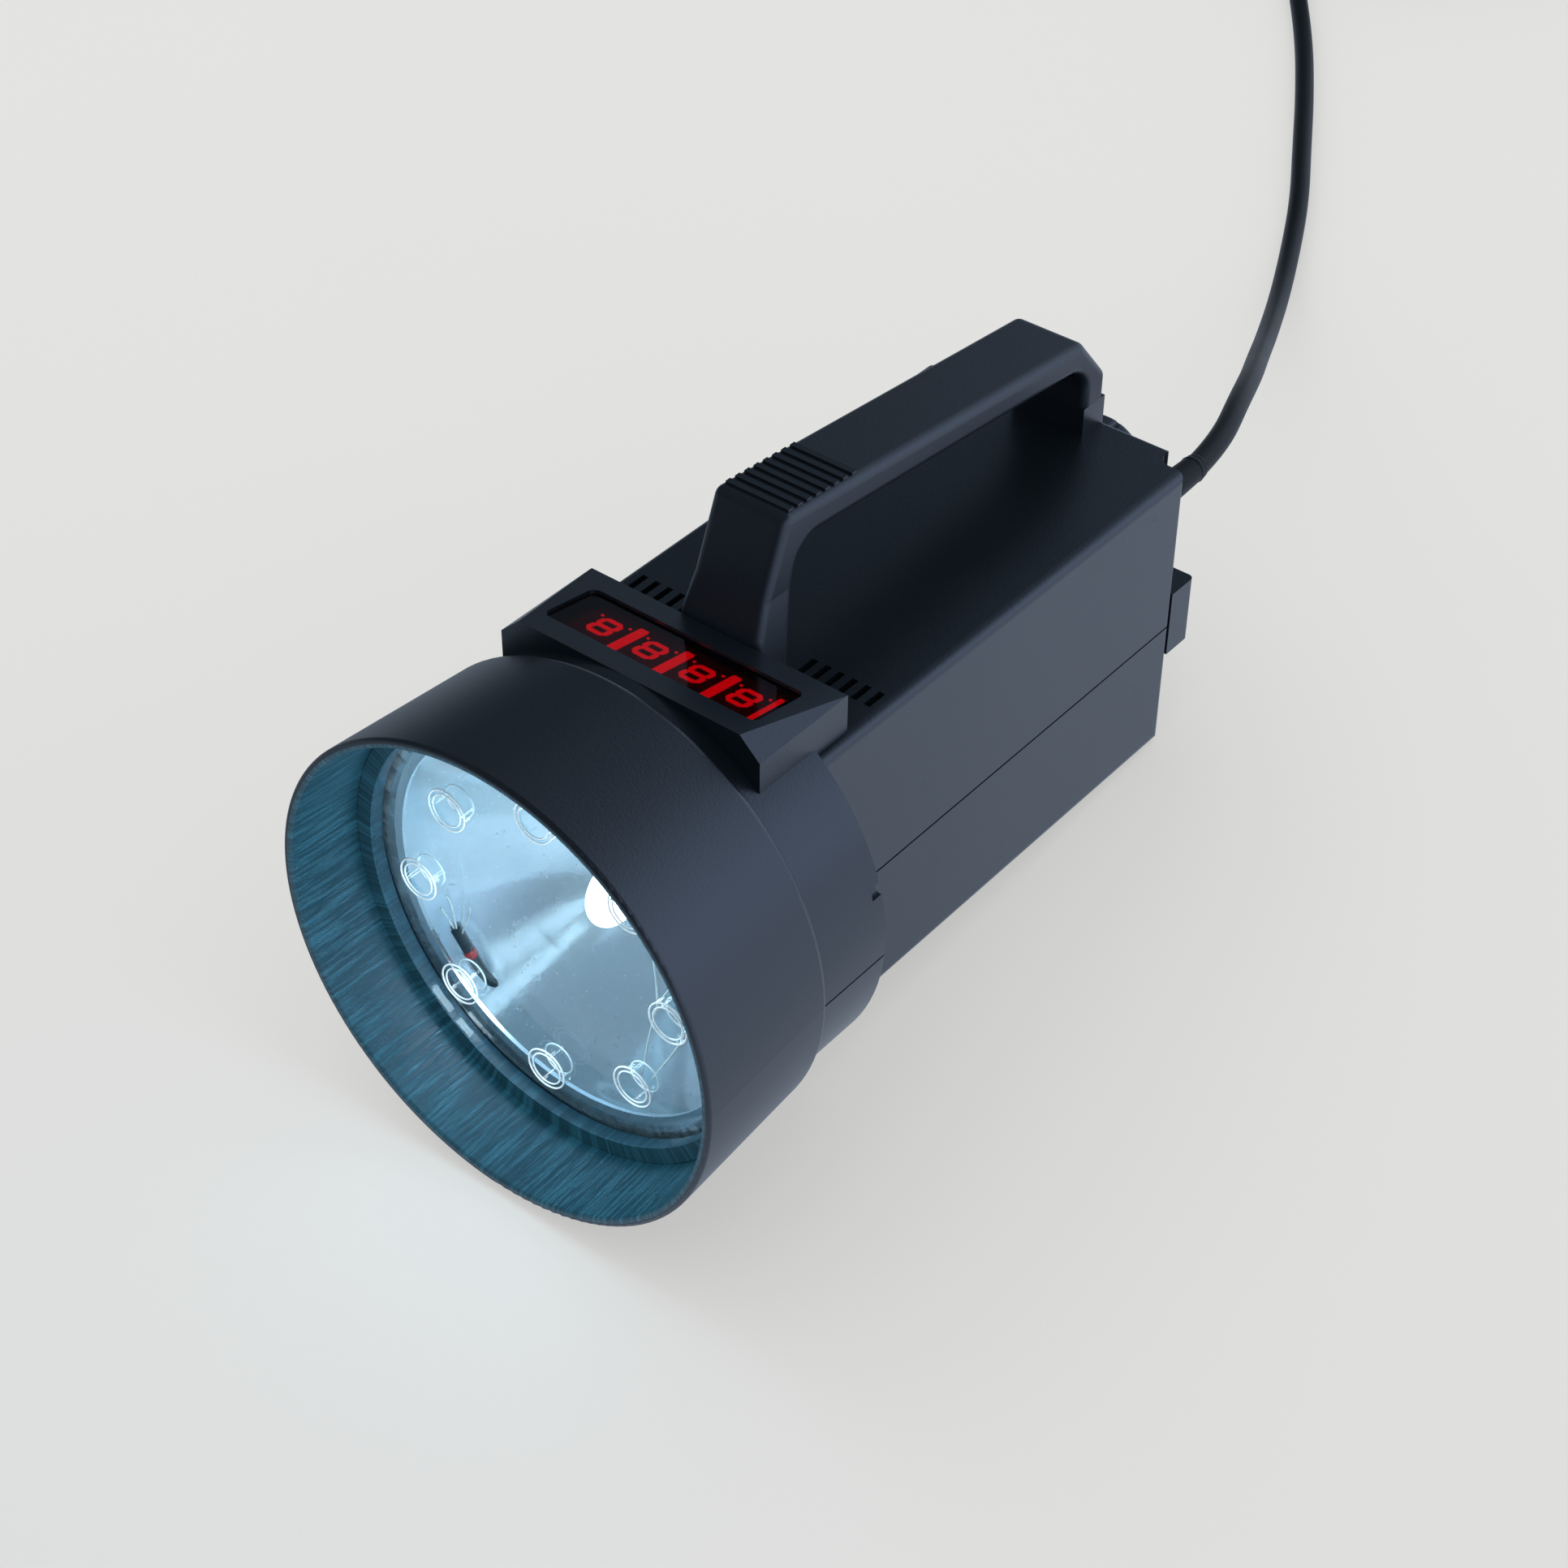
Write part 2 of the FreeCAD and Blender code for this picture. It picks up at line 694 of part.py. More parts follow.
def panel_hole():
    """Opening of the rear wall with a groove for the panel's edge."""
    front = body_rear - body_wall
    through = box(-panel_half_width + panel_lip, panel_half_width - panel_lip, front - 1,
                  body_rear + 1, panel_low + panel_lip, panel_high - panel_lip)
    groove = box(-panel_half_width, panel_half_width, body_rear - panel_inset - panel_thick,
                 body_rear - panel_inset, panel_low, panel_high)
    return through.fuse(groove)


nodes["upper_shell"], nodes["lower_shell"] = make_shells()


# Shell screws
def screw(x, y, z_head, z_tip):
    """A screw driven upwards: its head is at z_head, its tip at z_tip."""
    shank = post(screw_radius, z_head, z_tip, x, y)
    head = post(screw_head_radius, z_head - screw_head, z_head, x, y)
    slot = box(x - screw_head_radius, x + screw_head_radius, y - screw_slot / 2, y + screw_slot / 2,
               z_head - screw_head - 1, z_head - screw_head + screw_slot)
    return head.fuse(shank).removeSplitter().cut(slot)


nodes["shell_screws"] = Part.makeCompound([
    screw(x, y, head_level(x), screw_tip(x) - seat) for x, y in screw_places()])

# Threaded insert for a stand, in the underside
insert_foot = body_bottom + tripod_skin
insert = post(tripod_radius, insert_foot, insert_foot + tripod_length - seat, 0, tripod_place)
nodes["stand_insert"] = insert.cut(post(tripod_bore, body_bottom, insert_foot + tripod_hole,
                                        0, tripod_place))


# Handle: one side outline, rounded along its edges, whose front post widens downwards
def rounded_sides(plate, half_width):
    """Rounds the outline's edges on both sides of a plate, but not those of its feet."""
    chosen = [edge for edge in plate.Edges
              if abs(edge.BoundBox.Center.x) > half_width - 0.1
              and edge.BoundBox.XLength < 0.2 * edge.Length + 0.01 and edge.BoundBox.ZLength > 1.0]
    return plate.makeFillet(grip_edge_round, chosen)


def make_handle():
    slope = (grip_front_height - grip_rear_height) / (grip_rear - grip_front)
    under_front = grip_front_height - grip_thick_front
    under_rear = grip_rear_height - grip_thick_rear
    stub_top = body_top + stub_height
    foot_front = pod_rear + slip
    knee = pod_side_height + knee_step
    chamfer_end = stub_top + chamfer_share * (grip_rear_height - stub_top)
    rear_round = min(grip_inner_round, under_rear - stub_top - 0.5)
    outline = [
        (foot_front, body_top), (foot_front, knee), (grip_front, grip_front_height),
        (grip_rear, grip_rear_height), (rear_post_rear, chamfer_end),
        (rear_post_rear, stub_top), (rear_post_front, stub_top), (rear_post_front, under_rear),
        (grip_front + front_post_foot / 2, under_front), (foot_front + front_post_foot, body_top)]
    radii = [0, knee_round, grip_corner, grip_corner, grip_corner, 0, 0,
             rear_round, grip_inner_round, 0]
    flare_top = under_front - flare_drop
    wide = grip_half_width + post_flare * (flare_top - body_top)
    grip = rounded_sides(tapered_plate(-grip_half_width, grip_half_width, outline, radii),
                         grip_half_width)
    front_limit = grip_front + front_post_foot + grip_inner_round
    wedge = prism(
        [Vector(-grip_half_width, 0, flare_top), Vector(grip_half_width, 0, flare_top),
         Vector(wide, 0, body_top), Vector(-wide, 0, body_top)],
        [0] * 4, Vector(0, front_limit, 0))
    foot = tapered_plate(-wide, wide, outline, radii).common(wedge)
    grip = joined([grip, rounded_sides(foot, grip_half_width)])
    ribs = []
    for i in range(rib_count):
        y = grip_front + rib_first + i * rib_pitch
        z = grip_front_height - slope * (y - grip_front)
        rib = box(-grip_half_width + rib_inset, grip_half_width - rib_inset,
                  y - rib_width / 2, y + rib_width / 2, z - rib_root, z + rib_height)
        ribs.append(rib)
    return grip, ribs


def handle_foot(y):
    """Height at which the handle's post at y stands on the housing."""
    return body_top + stub_height if y > rear_post_front else body_top


def drilled_handle():
    grip, ribs = make_handle()
    holes = [post(screw_radius + seat, handle_foot(y) - 1, handle_foot(y) + handle_screw_hole, x, y)
             for x, y in handle_screw_places()]
    return joined([grip] + ribs).cut(Part.makeCompound(holes))


nodes["handle_grip"] = drilled_handle()
nodes["handle_screws"] = Part.makeCompound([
    screw(x, y, body_top - body_wall, handle_foot(y) + handle_screw_reach)
    for x, y in handle_screw_places()])

# Display housing: a wedge that stands on the collar and the body and is read from behind
pod_slope = math.degrees(math.atan2(pod_rise, pod_rear - pod_front))
pod_top = pod_side_height + pod_rise


def solid_from_faces(faces):
    shell = Part.makeShell([Part.Face(Part.makePolygon(f + f[:1])) for f in faces])
    return Part.makeSolid(shell)


def pod_block(inset, front, rear, low, drop):
    """The wedge: outer form with inset and drop 0, its hollow with the wall's thickness."""
    w = pod_half_width - inset
    t = pod_half_width - pod_inset - inset
    side = pod_side_height - drop
    top = pod_top - drop
    a = [Vector(-w, front, low), Vector(w, front, low), Vector(w, rear, low), Vector(-w, rear, low)]
    b = [Vector(-w, front, side), Vector(w, front, side), Vector(w, rear, side), Vector(-w, rear, side)]
    c = [Vector(-t, front, top), Vector(t, front, top)]
    faces = [a, [a[0], a[1], b[1], c[1], c[0], b[0]], [a[1], a[2], b[2], b[1]],
             [a[2], a[3], b[3], b[2]], [a[3], a[0], b[0], b[3]],
             [c[0], c[1], b[2], b[3]], [b[1], b[2], c[1]], [b[0], b[3], c[0]]]
    return solid_from_faces(faces)


def on_slope(shape, depth):
    """Lays a flat drawing, centred on the window, on the sloping top, depth below it."""
    middle = (pod_front + pod_rear) / 2
    height = pod_side_height + pod_rise / 2
    turn = Rotation(Vector(1, 0, 0), -pod_slope)
    down = turn.multVec(Vector(0, 0, -depth))
    shape = shape.copy()
    shape.Placement = Placement(Vector(0, middle, height) + down, turn)
    return shape


def rounded_plate(length, width, corner, thick):
    half_l = length / 2
    half_w = width / 2
    corners = [Vector(-half_l, -half_w, 0), Vector(half_l, -half_w, 0),
               Vector(half_l, half_w, 0), Vector(-half_l, half_w, 0)]
    return prism(corners, [corner] * 4, Vector(0, 0, thick))


def make_pod():
    low = body_top - 4
    outer = pod_block(0, pod_front, pod_rear, low, 0)
    inner = pod_block(pod_wall, pod_front + pod_wall, pod_rear - pod_wall, low - 1, pod_wall)
    pod = outer.cut(inner)
    around = box(-pod_opening + slip, pod_opening - slip, pod_front - 1, collar_end + 1,
                 body_top, hood_radius)
    pod = pod.cut(rod(collar_radius + seat, 0, collar_end + seat).cut(around))
    pod = pod.cut(box(-wide_limit, wide_limit, 0, pod_rear + 10, low - 2, body_top))
    view = rounded_plate(window_length, window_width, window_corner, 20)
    pod = pod.cut(on_slope(view, 10))
    seat_plate = rounded_plate(window_length + 2 * filter_lip, window_width + 2 * filter_lip,
                               window_corner + filter_lip, 20)
    return pod.cut(on_slope(seat_plate, 20 + filter_depth))


wide_limit = hood_radius * 2
nodes["display_housing"] = make_pod()
nodes["display_filter"] = on_slope(
    rounded_plate(window_length + 2 * filter_lip - 2 * seat, window_width + 2 * filter_lip - 2 * seat,
                  window_corner + filter_lip, filter_thick), filter_depth + filter_thick)
digit_top = filter_depth + filter_thick + digit_gap
digits = []
for i in range(digit_count):
    middle = (i - (digit_count - 1) / 2) * digit_pitch
    module = box(middle - digit_width / 2, middle + digit_width / 2,
                 -digit_length / 2, digit_length / 2, 0, digit_height)
    digits.append(on_slope(module, digit_top + digit_height))
nodes["display_digits"] = Part.makeCompound(digits)
board_length = 2 * (pod_opening - 2 * slip)
board_plate = box(-board_length / 2, board_length / 2, -display_board_length / 2,
                  display_board_length / 2, 0, display_board_thick)
nodes["display_board"] = on_slope(board_plate, digit_top + digit_height + display_board_thick)

# Rear panel, held by its edge in the shells' groove
panel_face = body_rear - panel_inset
panel_back = panel_face - panel_thick
switch_hole = (switch_width + 2 * seat, switch_height + 2 * seat)


def centred(x, z, width, height, y0, y1):
    return box(x - width / 2, x + width / 2, y0, y1, z - height / 2, z + height / 2)


panel = box(-panel_half_width + slip, panel_half_width - slip, panel_back, panel_face,
            panel_low + slip, panel_high - slip)
panel_holes = [rod(bush_radius + seat, panel_back - 1, panel_face + 1, coarse_x, coarse_z),
               rod(bush_radius + seat, panel_back - 1, panel_face + 1, fine_x, fine_z),
               rod(jack_bush + seat, panel_back - 1, panel_face + 1, jack_x, jack_z),
               centred(switch_x, switch_z, switch_hole[0], switch_hole[1], panel_back - 1, panel_face + 1)]
nodes["rear_panel"] = panel.cut(Part.makeCompound(panel_holes))


# Potentiometers, their nuts, shafts and knobs
def hexagon(x, z, flats, y0, y1):
    across = flats / math.sqrt(3)
    corners = [Vector(x + across * math.cos(math.radians(60 * i)), y0,
                      z + across * math.sin(math.radians(60 * i))) for i in range(6)]
    return prism(corners, [0] * 6, Vector(0, y1 - y0, 0))


def potentiometer(x, z):
    body = rod(pot_radius, panel_back - pot_length, panel_back, x, z)
    bush = rod(bush_radius, panel_back - 1, panel_back + bush_length, x, z)
    bore = rod(shaft_radius + running, panel_back - pot_length + pot_floor,
               panel_back + bush_length + 1, x, z)
    return joined([body, bush]).cut(bore)


def knob(x, z, radius, length):
    start = panel_back + bush_length + knob_gap
    end = start + length
    skirt = start - knob_skirt
    body = rod(radius, skirt, end, x, z)
    rim = [e for e in body.Edges if e.BoundBox.YLength < 0.01 and e.BoundBox.YMin > end - 0.1]
    body = body.makeFillet(knob_round, rim)
    hollow = rod(radius - knob_wall, skirt - 1, start, x, z)
    bore = rod(shaft_radius + 0.01, start - 1, start + knob_bore, x, z)
    pitch_radius = radius + flute_radius * flute_depth
    flutes = []
    for i in range(flute_count):
        way = math.radians(360 * (i + 0.5) / flute_count)
        flutes.append(rod(flute_radius, start, end + 1,
                          x + pitch_radius * math.cos(way), z + pitch_radius * math.sin(way)))
    line = box(x - pointer_width / 2, x + pointer_width / 2, end - pointer_depth, end + 1,
               z, z + radius)
    return body.cut(Part.makeCompound([hollow, bore, line] + flutes))


def shaft(x, z):
    start = panel_back - pot_length + pot_floor + running
    return rod(shaft_radius, start, panel_back + bush_length + knob_gap + knob_bore, x, z)


pot_nuts = []
for name, x, z, radius, length in (("coarse", coarse_x, coarse_z, coarse_radius, coarse_length),
                                   ("fine", fine_x, fine_z, fine_radius, fine_length)):
    nodes[name + "_control"] = potentiometer(x, z)
    nodes[name + "_shaft"] = shaft(x, z)
    nodes[name + "_knob"] = knob(x, z, radius, length)
    pot_nuts.append(hexagon(x, z, nut_flats, panel_face, panel_face + nut_thick).cut(
        rod(bush_radius + seat, panel_face - 1, panel_face + nut_thick + 1, x, z)))
nodes["control_nuts"] = Part.makeCompound(pot_nuts)

# Power switch: a housing with a bezel, a rocker and the pin that it turns on
pin_y = panel_face + switch_bezel_thick - rocker_pin_depth
cavity_width = switch_width - 2 * switch_wall
cavity_height = switch_height - 2 * switch_wall
switch_back = panel_face - switch_depth
rocker_radius = cavity_height / 2 - rocker_gap


def make_switch():
    block = centred(switch_x, switch_z, switch_width, switch_height, switch_back, panel_face + 0.5)
    bezel = centred(switch_x, switch_z, switch_width + 2 * switch_bezel,
                    switch_height + 2 * switch_bezel, panel_face, panel_face + switch_bezel_thick)
    cavity = centred(switch_x, switch_z, cavity_width, cavity_height, pin_y - rocker_radius - 0.5,
                     panel_face + switch_bezel_thick + 1)
    pin_hole = Part.makeCylinder(rocker_pin_radius + seat, switch_width - 0.4,
                                 Vector(switch_x - switch_width / 2 + 0.2, pin_y, switch_z),
                                 Vector(1, 0, 0))
    return joined([block, bezel]).cut(cavity).cut(pin_hole)


def make_rocker():
    """A half round with a shallow V on its face; it rests with its upper end pressed in."""
    drum = Part.makeCylinder(rocker_radius, cavity_width - 2 * rocker_gap,
                             Vector(switch_x - cavity_width / 2 + rocker_gap, pin_y, switch_z),
                             Vector(1, 0, 0))
    reach = rocker_radius * 2
    face_y = pin_y + rocker_pin_depth + rocker_proud
    drop = reach * math.tan(math.radians(rocker_tilt))
    x0 = switch_x - reach
    end_y = face_y + drop - rocker_dip
    keep = prism([Vector(x0, pin_y - reach, switch_z - reach), Vector(x0, end_y, switch_z - reach),
                  Vector(x0, face_y - rocker_dip, switch_z), Vector(x0, end_y, switch_z + reach),
                  Vector(x0, pin_y - reach, switch_z + reach)], [0] * 5, Vector(2 * reach, 0, 0))
    rocker = drum.common(keep)
    hole = Part.makeCylinder(rocker_pin_radius + running, 2 * reach, Vector(x0, pin_y, switch_z),
                             Vector(1, 0, 0))
    rocker = rocker.cut(hole)
    rocker.rotate(Vector(switch_x, pin_y, switch_z), Vector(1, 0, 0), rocker_tilt)
    return rocker


nodes["switch_housing"] = make_switch()
nodes["switch_rocker"] = make_rocker()
nodes["switch_pin"] = Part.makeCylinder(rocker_pin_radius, switch_width - 0.6,
                                        Vector(switch_x - switch_width / 2 + 0.3, pin_y, switch_z),
                                        Vector(1, 0, 0))

# Socket for an outside trigger signal
jack = joined([rod(jack_body, panel_back - jack_length, panel_back, jack_x, jack_z),
               rod(jack_bush, panel_back - 1, panel_face + jack_nose + nut_thick, jack_x, jack_z)])
nodes["trigger_socket"] = jack.cut(rod(jack_bore, panel_back - jack_length + 1,
                                       panel_face + jack_nose + nut_thick + 1, jack_x, jack_z))
socket_nut = hexagon(jack_x, jack_z, jack_nut_flats, panel_face, panel_face + nut_thick)
nodes["socket_nut"] = socket_nut.cut(
    rod(jack_bush + seat, panel_face - 1, panel_face + nut_thick + 1, jack_x, jack_z))

# Main board with its parts
board_top = board_level + board_thick
board = box(-board_half_width, board_half_width, board_front, board_rear, board_level, board_top)
nodes["main_board"] = board.cut(Part.makeCompound([
    post(screw_radius + seat, board_level - 1, board_top + 1, x, y) for x, y in board_screw_places()]))


def downward_screw(x, y, z_head, z_tip):
    shank = post(screw_radius, z_tip, z_head, x, y)
    head = post(screw_head_radius, z_head, z_head + screw_head, x, y)
    return head.fuse(shank).removeSplitter()


nodes["board_screws"] = Part.makeCompound([
    downward_screw(x, y, board_top, board_level - board_screw_depth + seat)
    for x, y in board_screw_places()])
core = box(-core_width / 2, core_width / 2, core_place - core_length / 2,
           core_place + core_length / 2, board_top, board_top + core_height)
limb = core_width / 6
slots = [box(x - limb / 2, x + limb / 2, core_place - core_length, core_place + core_length,
             board_top + limb, board_top + core_height - limb)
         for x in (-limb * 1.5, limb * 1.5)]
nodes["transformer_core"] = core.cut(Part.makeCompound(slots))
bobbin = box(-2 * limb + slip, 2 * limb - slip, core_place - core_length / 2 - winding_out,
             core_place + core_length / 2 + winding_out, board_top + limb + slip,
             board_top + core_height - limb - slip)
bobbin_hole = box(-limb - slip, limb + slip, core_place - core_length / 2 - slip,
                  core_place + core_length / 2 + slip, board_top, board_top + core_height)
nodes["transformer_winding"] = bobbin.cut(bobbin_hole)
capacitor_z = board_top + capacitor_radius
capacitor = Part.makeCylinder(capacitor_radius, capacitor_length,
                              Vector(-capacitor_length / 2, capacitor_place + capacitor_radius, capacitor_z),
                              Vector(1, 0, 0))
nodes["flash_capacitor"] = capacitor
nodes["smoothing_capacitors"] = Part.makeCompound([
    post(small_capacitor_radius, board_top, board_top + small_capacitor_height, x, small_capacitor_place)
    for x in small_capacitor_x])
nodes["trigger_coil"] = post(coil_radius, board_top, board_top + coil_height, coil_x, coil_place)
chips = []
for i in range(chip_count):
    y = chip_place + i * chip_pitch
    chips.append(box(chip_x - chip_width / 2, chip_x + chip_width / 2, y, y + chip_length, board_top,
                     board_top + chip_height))
nodes["control_chips"] = Part.makeCompound(chips)
sink_front = sink_place - sink_thick / 2
sink = box(-sink_width / 2, sink_width / 2, sink_front, sink_front + sink_thick, board_top,
           board_top + sink_height)
gaps = []
for i in range(fin_count):
    x = (i - (fin_count - 1) / 2) * fin_pitch
    gaps.append(box(x - fin_gap / 2, x + fin_gap / 2, sink_front + fin_root, sink_front + sink_thick + 1,
                    board_top - 1, board_top + sink_height + 1))
nodes["heat_sink"] = sink.cut(Part.makeCompound(gaps))


# Strain relief of the mains lead, in the right-hand notch
def make_gland():
    sleeve = Part.makeCone(gland_base, gland_tip, gland_length,
                           Vector(gland_x, body_end, gland_z), Vector(0, 1, 0))
    root = rod(gland_tip, body_end - body_wall - gland_root, body_end, gland_x, gland_z)
    return joined([sleeve, root])


nodes["cord_gland"] = make_gland()

# The lamp leans back until the floor touches its hood or collar and the rear lower edge
contacts = [(hood_rim_round, -hood_radius + hood_rim_round, hood_rim_round),
            (hood_length - hood_shoulder, -hood_outer_at(hood_length) + hood_shoulder, hood_shoulder),
            (collar_end, -collar_radius, 0.0)]
heel = (body_rear - rear_edge_round, body_bottom + rear_edge_round, rear_edge_round)


def lean_angle():
    """The largest angle at which a round of the front and the heel stand on one line."""
    best = 0.0
    for y, z, radius in contacts:
        dy = heel[0] - y
        dz = heel[1] - z
        angle = math.atan2(dz, dy) - math.asin((heel[2] - radius) / math.hypot(dy, dz))
        best = max(best, angle)
    return best


lean = lean_angle()
turn = Rotation(Vector(1, 0, 0), -math.degrees(lean))


def leaned(point):
    return turn.multVec(Vector(*point))


floor = leaned((0, heel[0], heel[1])).z - heel[2]
front_y = min(leaned((0, y, z)).y for y, z in ((0.0, hood_radius - hood_rim_round), (0.0, -hood_radius)))
rear_knob = panel_back + bush_length + knob_gap + coarse_length
rear_y = leaned((0, rear_knob, coarse_z + coarse_radius - 1.0)).y
base = Placement(Vector(0, -(front_y + rear_y) / 2, -floor), turn)


def placed(point):
    """A point of the beam's frame in the standing lamp's frame."""
    return base.multVec(Vector(*point))


for name in nodes:
    nodes[name].Placement = base.multiply(nodes[name].Placement)


# Mains lead: straight out of its sleeve, down to the floor and away to the rear.
# The lead is drawn in the standing lamp's frame, where the floor is at z = 0.
def flat_point(x, y):
    """A point of the lead where it lies on the floor."""
    return Vector(x, y, cord_radius)


lead_start = placed((gland_x, body_end + gland_length, gland_z))
lead_second = placed((gland_x, body_end + gland_length + cord_straight, gland_z))
lead_route = [lead_start, lead_second, Vector(24, 138, 66), Vector(13, 158, 54),
              Vector(1, 183, 39), Vector(-14, 214, 22), Vector(-31, 249, 7.5),
              flat_point(-45, 278), flat_point(-55, 298), flat_point(-68, 320),
              flat_point(-82, 344), flat_point(-99, 371), flat_point(-121, 401)]
coil_start = Vector(-148, 437, cord_radius + coil_lift)


def bent_path(points, label):
    """Straight runs joined by tangent arcs, each as large as its two runs allow."""
    edges = []
    radii = []
    last = points[0]
    for before, corner, after in zip(points[:-2], points[1:-1], points[2:]):
        inward = corner - before
        onward = after - corner
        half = inward.getAngle(onward) / 2
        reach = 0.45 * min(inward.Length, onward.Length)
        radii.append(reach / math.tan(half))
        start = corner - inward.normalize() * reach
        end = corner + onward.normalize() * reach
        middle = (start + end) / 2
        top = middle + (corner - middle) * (math.cos(half) / (1 + math.cos(half)))
        edges.append(Part.LineSegment(last, start).toShape())
        edges.append(Part.Arc(start, top, end).toShape())
        last = end
    edges.append(Part.LineSegment(last, points[-1]).toShape())
    print(label, "radii", [round(r) for r in radii])
    return Part.Wire(edges)


def cord_tube(path, label):
    solid = swept_round(path, cord_radius)
    solid = solid if solid.ShapeType == "Solid" else Part.makeSolid(solid)
    wanted = math.pi * cord_radius ** 2 * path.Length
    print(label, "length", round(path.Length, 1), "volume over section times length",
          round(solid.Volume / wanted, 4))
    return solid


# Coil: its turns run clockwise seen from above; it spirals in and out again, and climbs a layer
# in the half turn where the spiral turns back
arrival = (Vector(coil_start.x, coil_start.y, 0) - Vector(lead_route[-1].x, lead_route[-1].y, 0)).normalize()
to_centre = Vector(arrival.y, -arrival.x, 0)
coil_entry = coil_start + arrival * (2 * cord_radius)
coil_centre = coil_entry + to_centre * coil_radius_out
coil_angle = math.atan2(-to_centre.y, -to_centre.x)
coil_steps = coil_layers * (coil_half_turns + 1) - 1


def coil_state(half_turns):
    """Radius and height of the coil's centre line after so many half turns."""
    layer = min(int(half_turns // (coil_half_turns + 1)), coil_layers - 1)
    within = half_turns - layer * (coil_half_turns + 1)
    travelled = min(within, coil_half_turns) * coil_pitch / 2
    inner = coil_radius_out - coil_half_turns * coil_pitch / 2
    radius = coil_radius_out - travelled if layer % 2 == 0 else inner + travelled
    climb = max(within - coil_half_turns, 0.0)
    return radius, (layer + (1 - math.cos(math.pi * climb)) / 2) * coil_layer


def coil_point(half_turns):
    radius, height = coil_state(half_turns)
    angle = coil_angle - math.pi * half_turns
    return Vector(coil_centre.x + radius * math.cos(angle), coil_centre.y + radius * math.sin(angle),
                  coil_start.z + height)


def coil_heading(half_turns):
    """Direction of travel; the spiral's own slight slope is left to the arcs."""
    step = 1e-4
    radius, low = coil_state(max(half_turns - step, 0.0))
    radius, high = coil_state(min(half_turns + step, coil_steps))
    angle = coil_angle - math.pi * half_turns
    rise = (high - low) / (2 * step * math.pi * radius)
    return Vector(math.sin(angle), -math.cos(angle), rise).normalize()


def biarc(p0, t0, p1, t1):
    """Two tangent arcs from p0 to p1 that leave along t0 and arrive along t1."""
    v = p1 - p0
    t = t0 + t1
    a = 2 * (1 - t0.dot(t1))
    b = 2 * v.dot(t)
    reach = (-b + math.sqrt(b * b + 4 * a * v.dot(v))) / (2 * a)
    first = p0 + t0 * reach
    second = p1 - t1 * reach
    join = (first + second) / 2
    arcs = []
    for start, corner, end in ((p0, first, join), (join, second, p1)):
        middle = (start + end) / 2
        half = (corner - start).getAngle(end - corner) / 2
        top = middle + (corner - middle) * (math.cos(half) / (1 + math.cos(half)))
        arcs.append(Part.Arc(start, top, end).toShape())
    return arcs


def coil_path():
    stops = [i / 2 for i in range(2 * coil_steps + 1)]
    edges = [Part.LineSegment(coil_start, coil_entry).toShape()]
    for a, b in zip(stops[:-1], stops[1:]):
        edges += biarc(coil_point(a), coil_heading(a), coil_point(b), coil_heading(b))
    out = coil_point(coil_steps)
    coil_end = out + coil_heading(coil_steps) * (2 * cord_radius)
    edges.append(Part.LineSegment(out, coil_end).toShape())
    return Part.Wire(edges), coil_end


def least_gap():
    """Smallest distance between turns, measured on points of the centre line."""
    per_half = 48
    points = [coil_point(i / per_half) for i in range(coil_steps * per_half + 1)]
    best = 1e9
    for i in range(0, len(points), 2):
        for j in range(i + per_half, len(points)):
            best = min(best, (points[i] - points[j]).Length)
    return best - 2 * cord_radius


coil_wire, coil_end = coil_path()
print("coil: least gap between turns", round(least_gap(), 2))
nodes["cord_coil"] = cord_tube(coil_wire, "coil")
lead_route += [coil_start - arrival * 17, coil_start]
lead_wire = bent_path(lead_route, "lead")
nodes["cord_lead"] = cord_tube(lead_wire, "lead")

# From the coil's top the lead turns aside and comes down beside it to the plug
leaving = coil_heading(coil_steps)
aside = Vector(-leaving.y, leaving.x, 0)
plug_height = plug_thick / 2


def tail_point(along, across, height):
    """A point from the coil's end: onwards, to the left and at a height over the floor."""
    flat = coil_end + leaving * along + aside * across
    return Vector(flat.x, flat.y, height)


coil_top = coil_end.z
tail_route = [coil_end, tail_point(10, 0, coil_top), tail_point(22, 13, coil_top - 1.5),
              tail_point(25, 36, coil_top - 6), tail_point(22, 60, plug_height + 3),
              tail_point(19, 82, plug_height), tail_point(18, 94, plug_height)]
plug_start = tail_route[-1]
tail_wire = bent_path(tail_route, "tail")
nodes["cord_tail"] = cord_tube(tail_wire, "tail")
print("whole cord", round(lead_wire.Length + coil_wire.Length + tail_wire.Length), "mm")
plug_way = plug_start - tail_route[-2]
plug_turn = math.degrees(math.atan2(plug_way.y, plug_way.x))


def make_plug():
    """Flat two-pin plug, drawn along +X from the point where the cord enters it."""
    half = plug_width / 2
    neck = plug_neck / 2
    corners = [Vector(0, -neck, -plug_height), Vector(plug_length * 0.55, -half, -plug_height),
               Vector(plug_length, -half, -plug_height), Vector(plug_length, half, -plug_height),
               Vector(plug_length * 0.55, half, -plug_height), Vector(0, neck, -plug_height)]
    body = prism(corners, [3.0, 6.0, 1.5, 1.5, 6.0, 3.0], Vector(0, 0, plug_thick))
    pins = [Part.makeCylinder(pin_radius, pin_length, Vector(plug_length, y, 0), Vector(1, 0, 0))
            for y in (-pin_spacing / 2, pin_spacing / 2)]
    return body, Part.makeCompound(pins)


def at_plug(shape):
    shape.Placement = Placement(plug_start, Rotation(Vector(0, 0, 1), plug_turn))
    return shape


plug_body, plug_pins = make_plug()
nodes["plug_body"] = at_plug(plug_body)
nodes["plug_pins"] = at_plug(plug_pins)


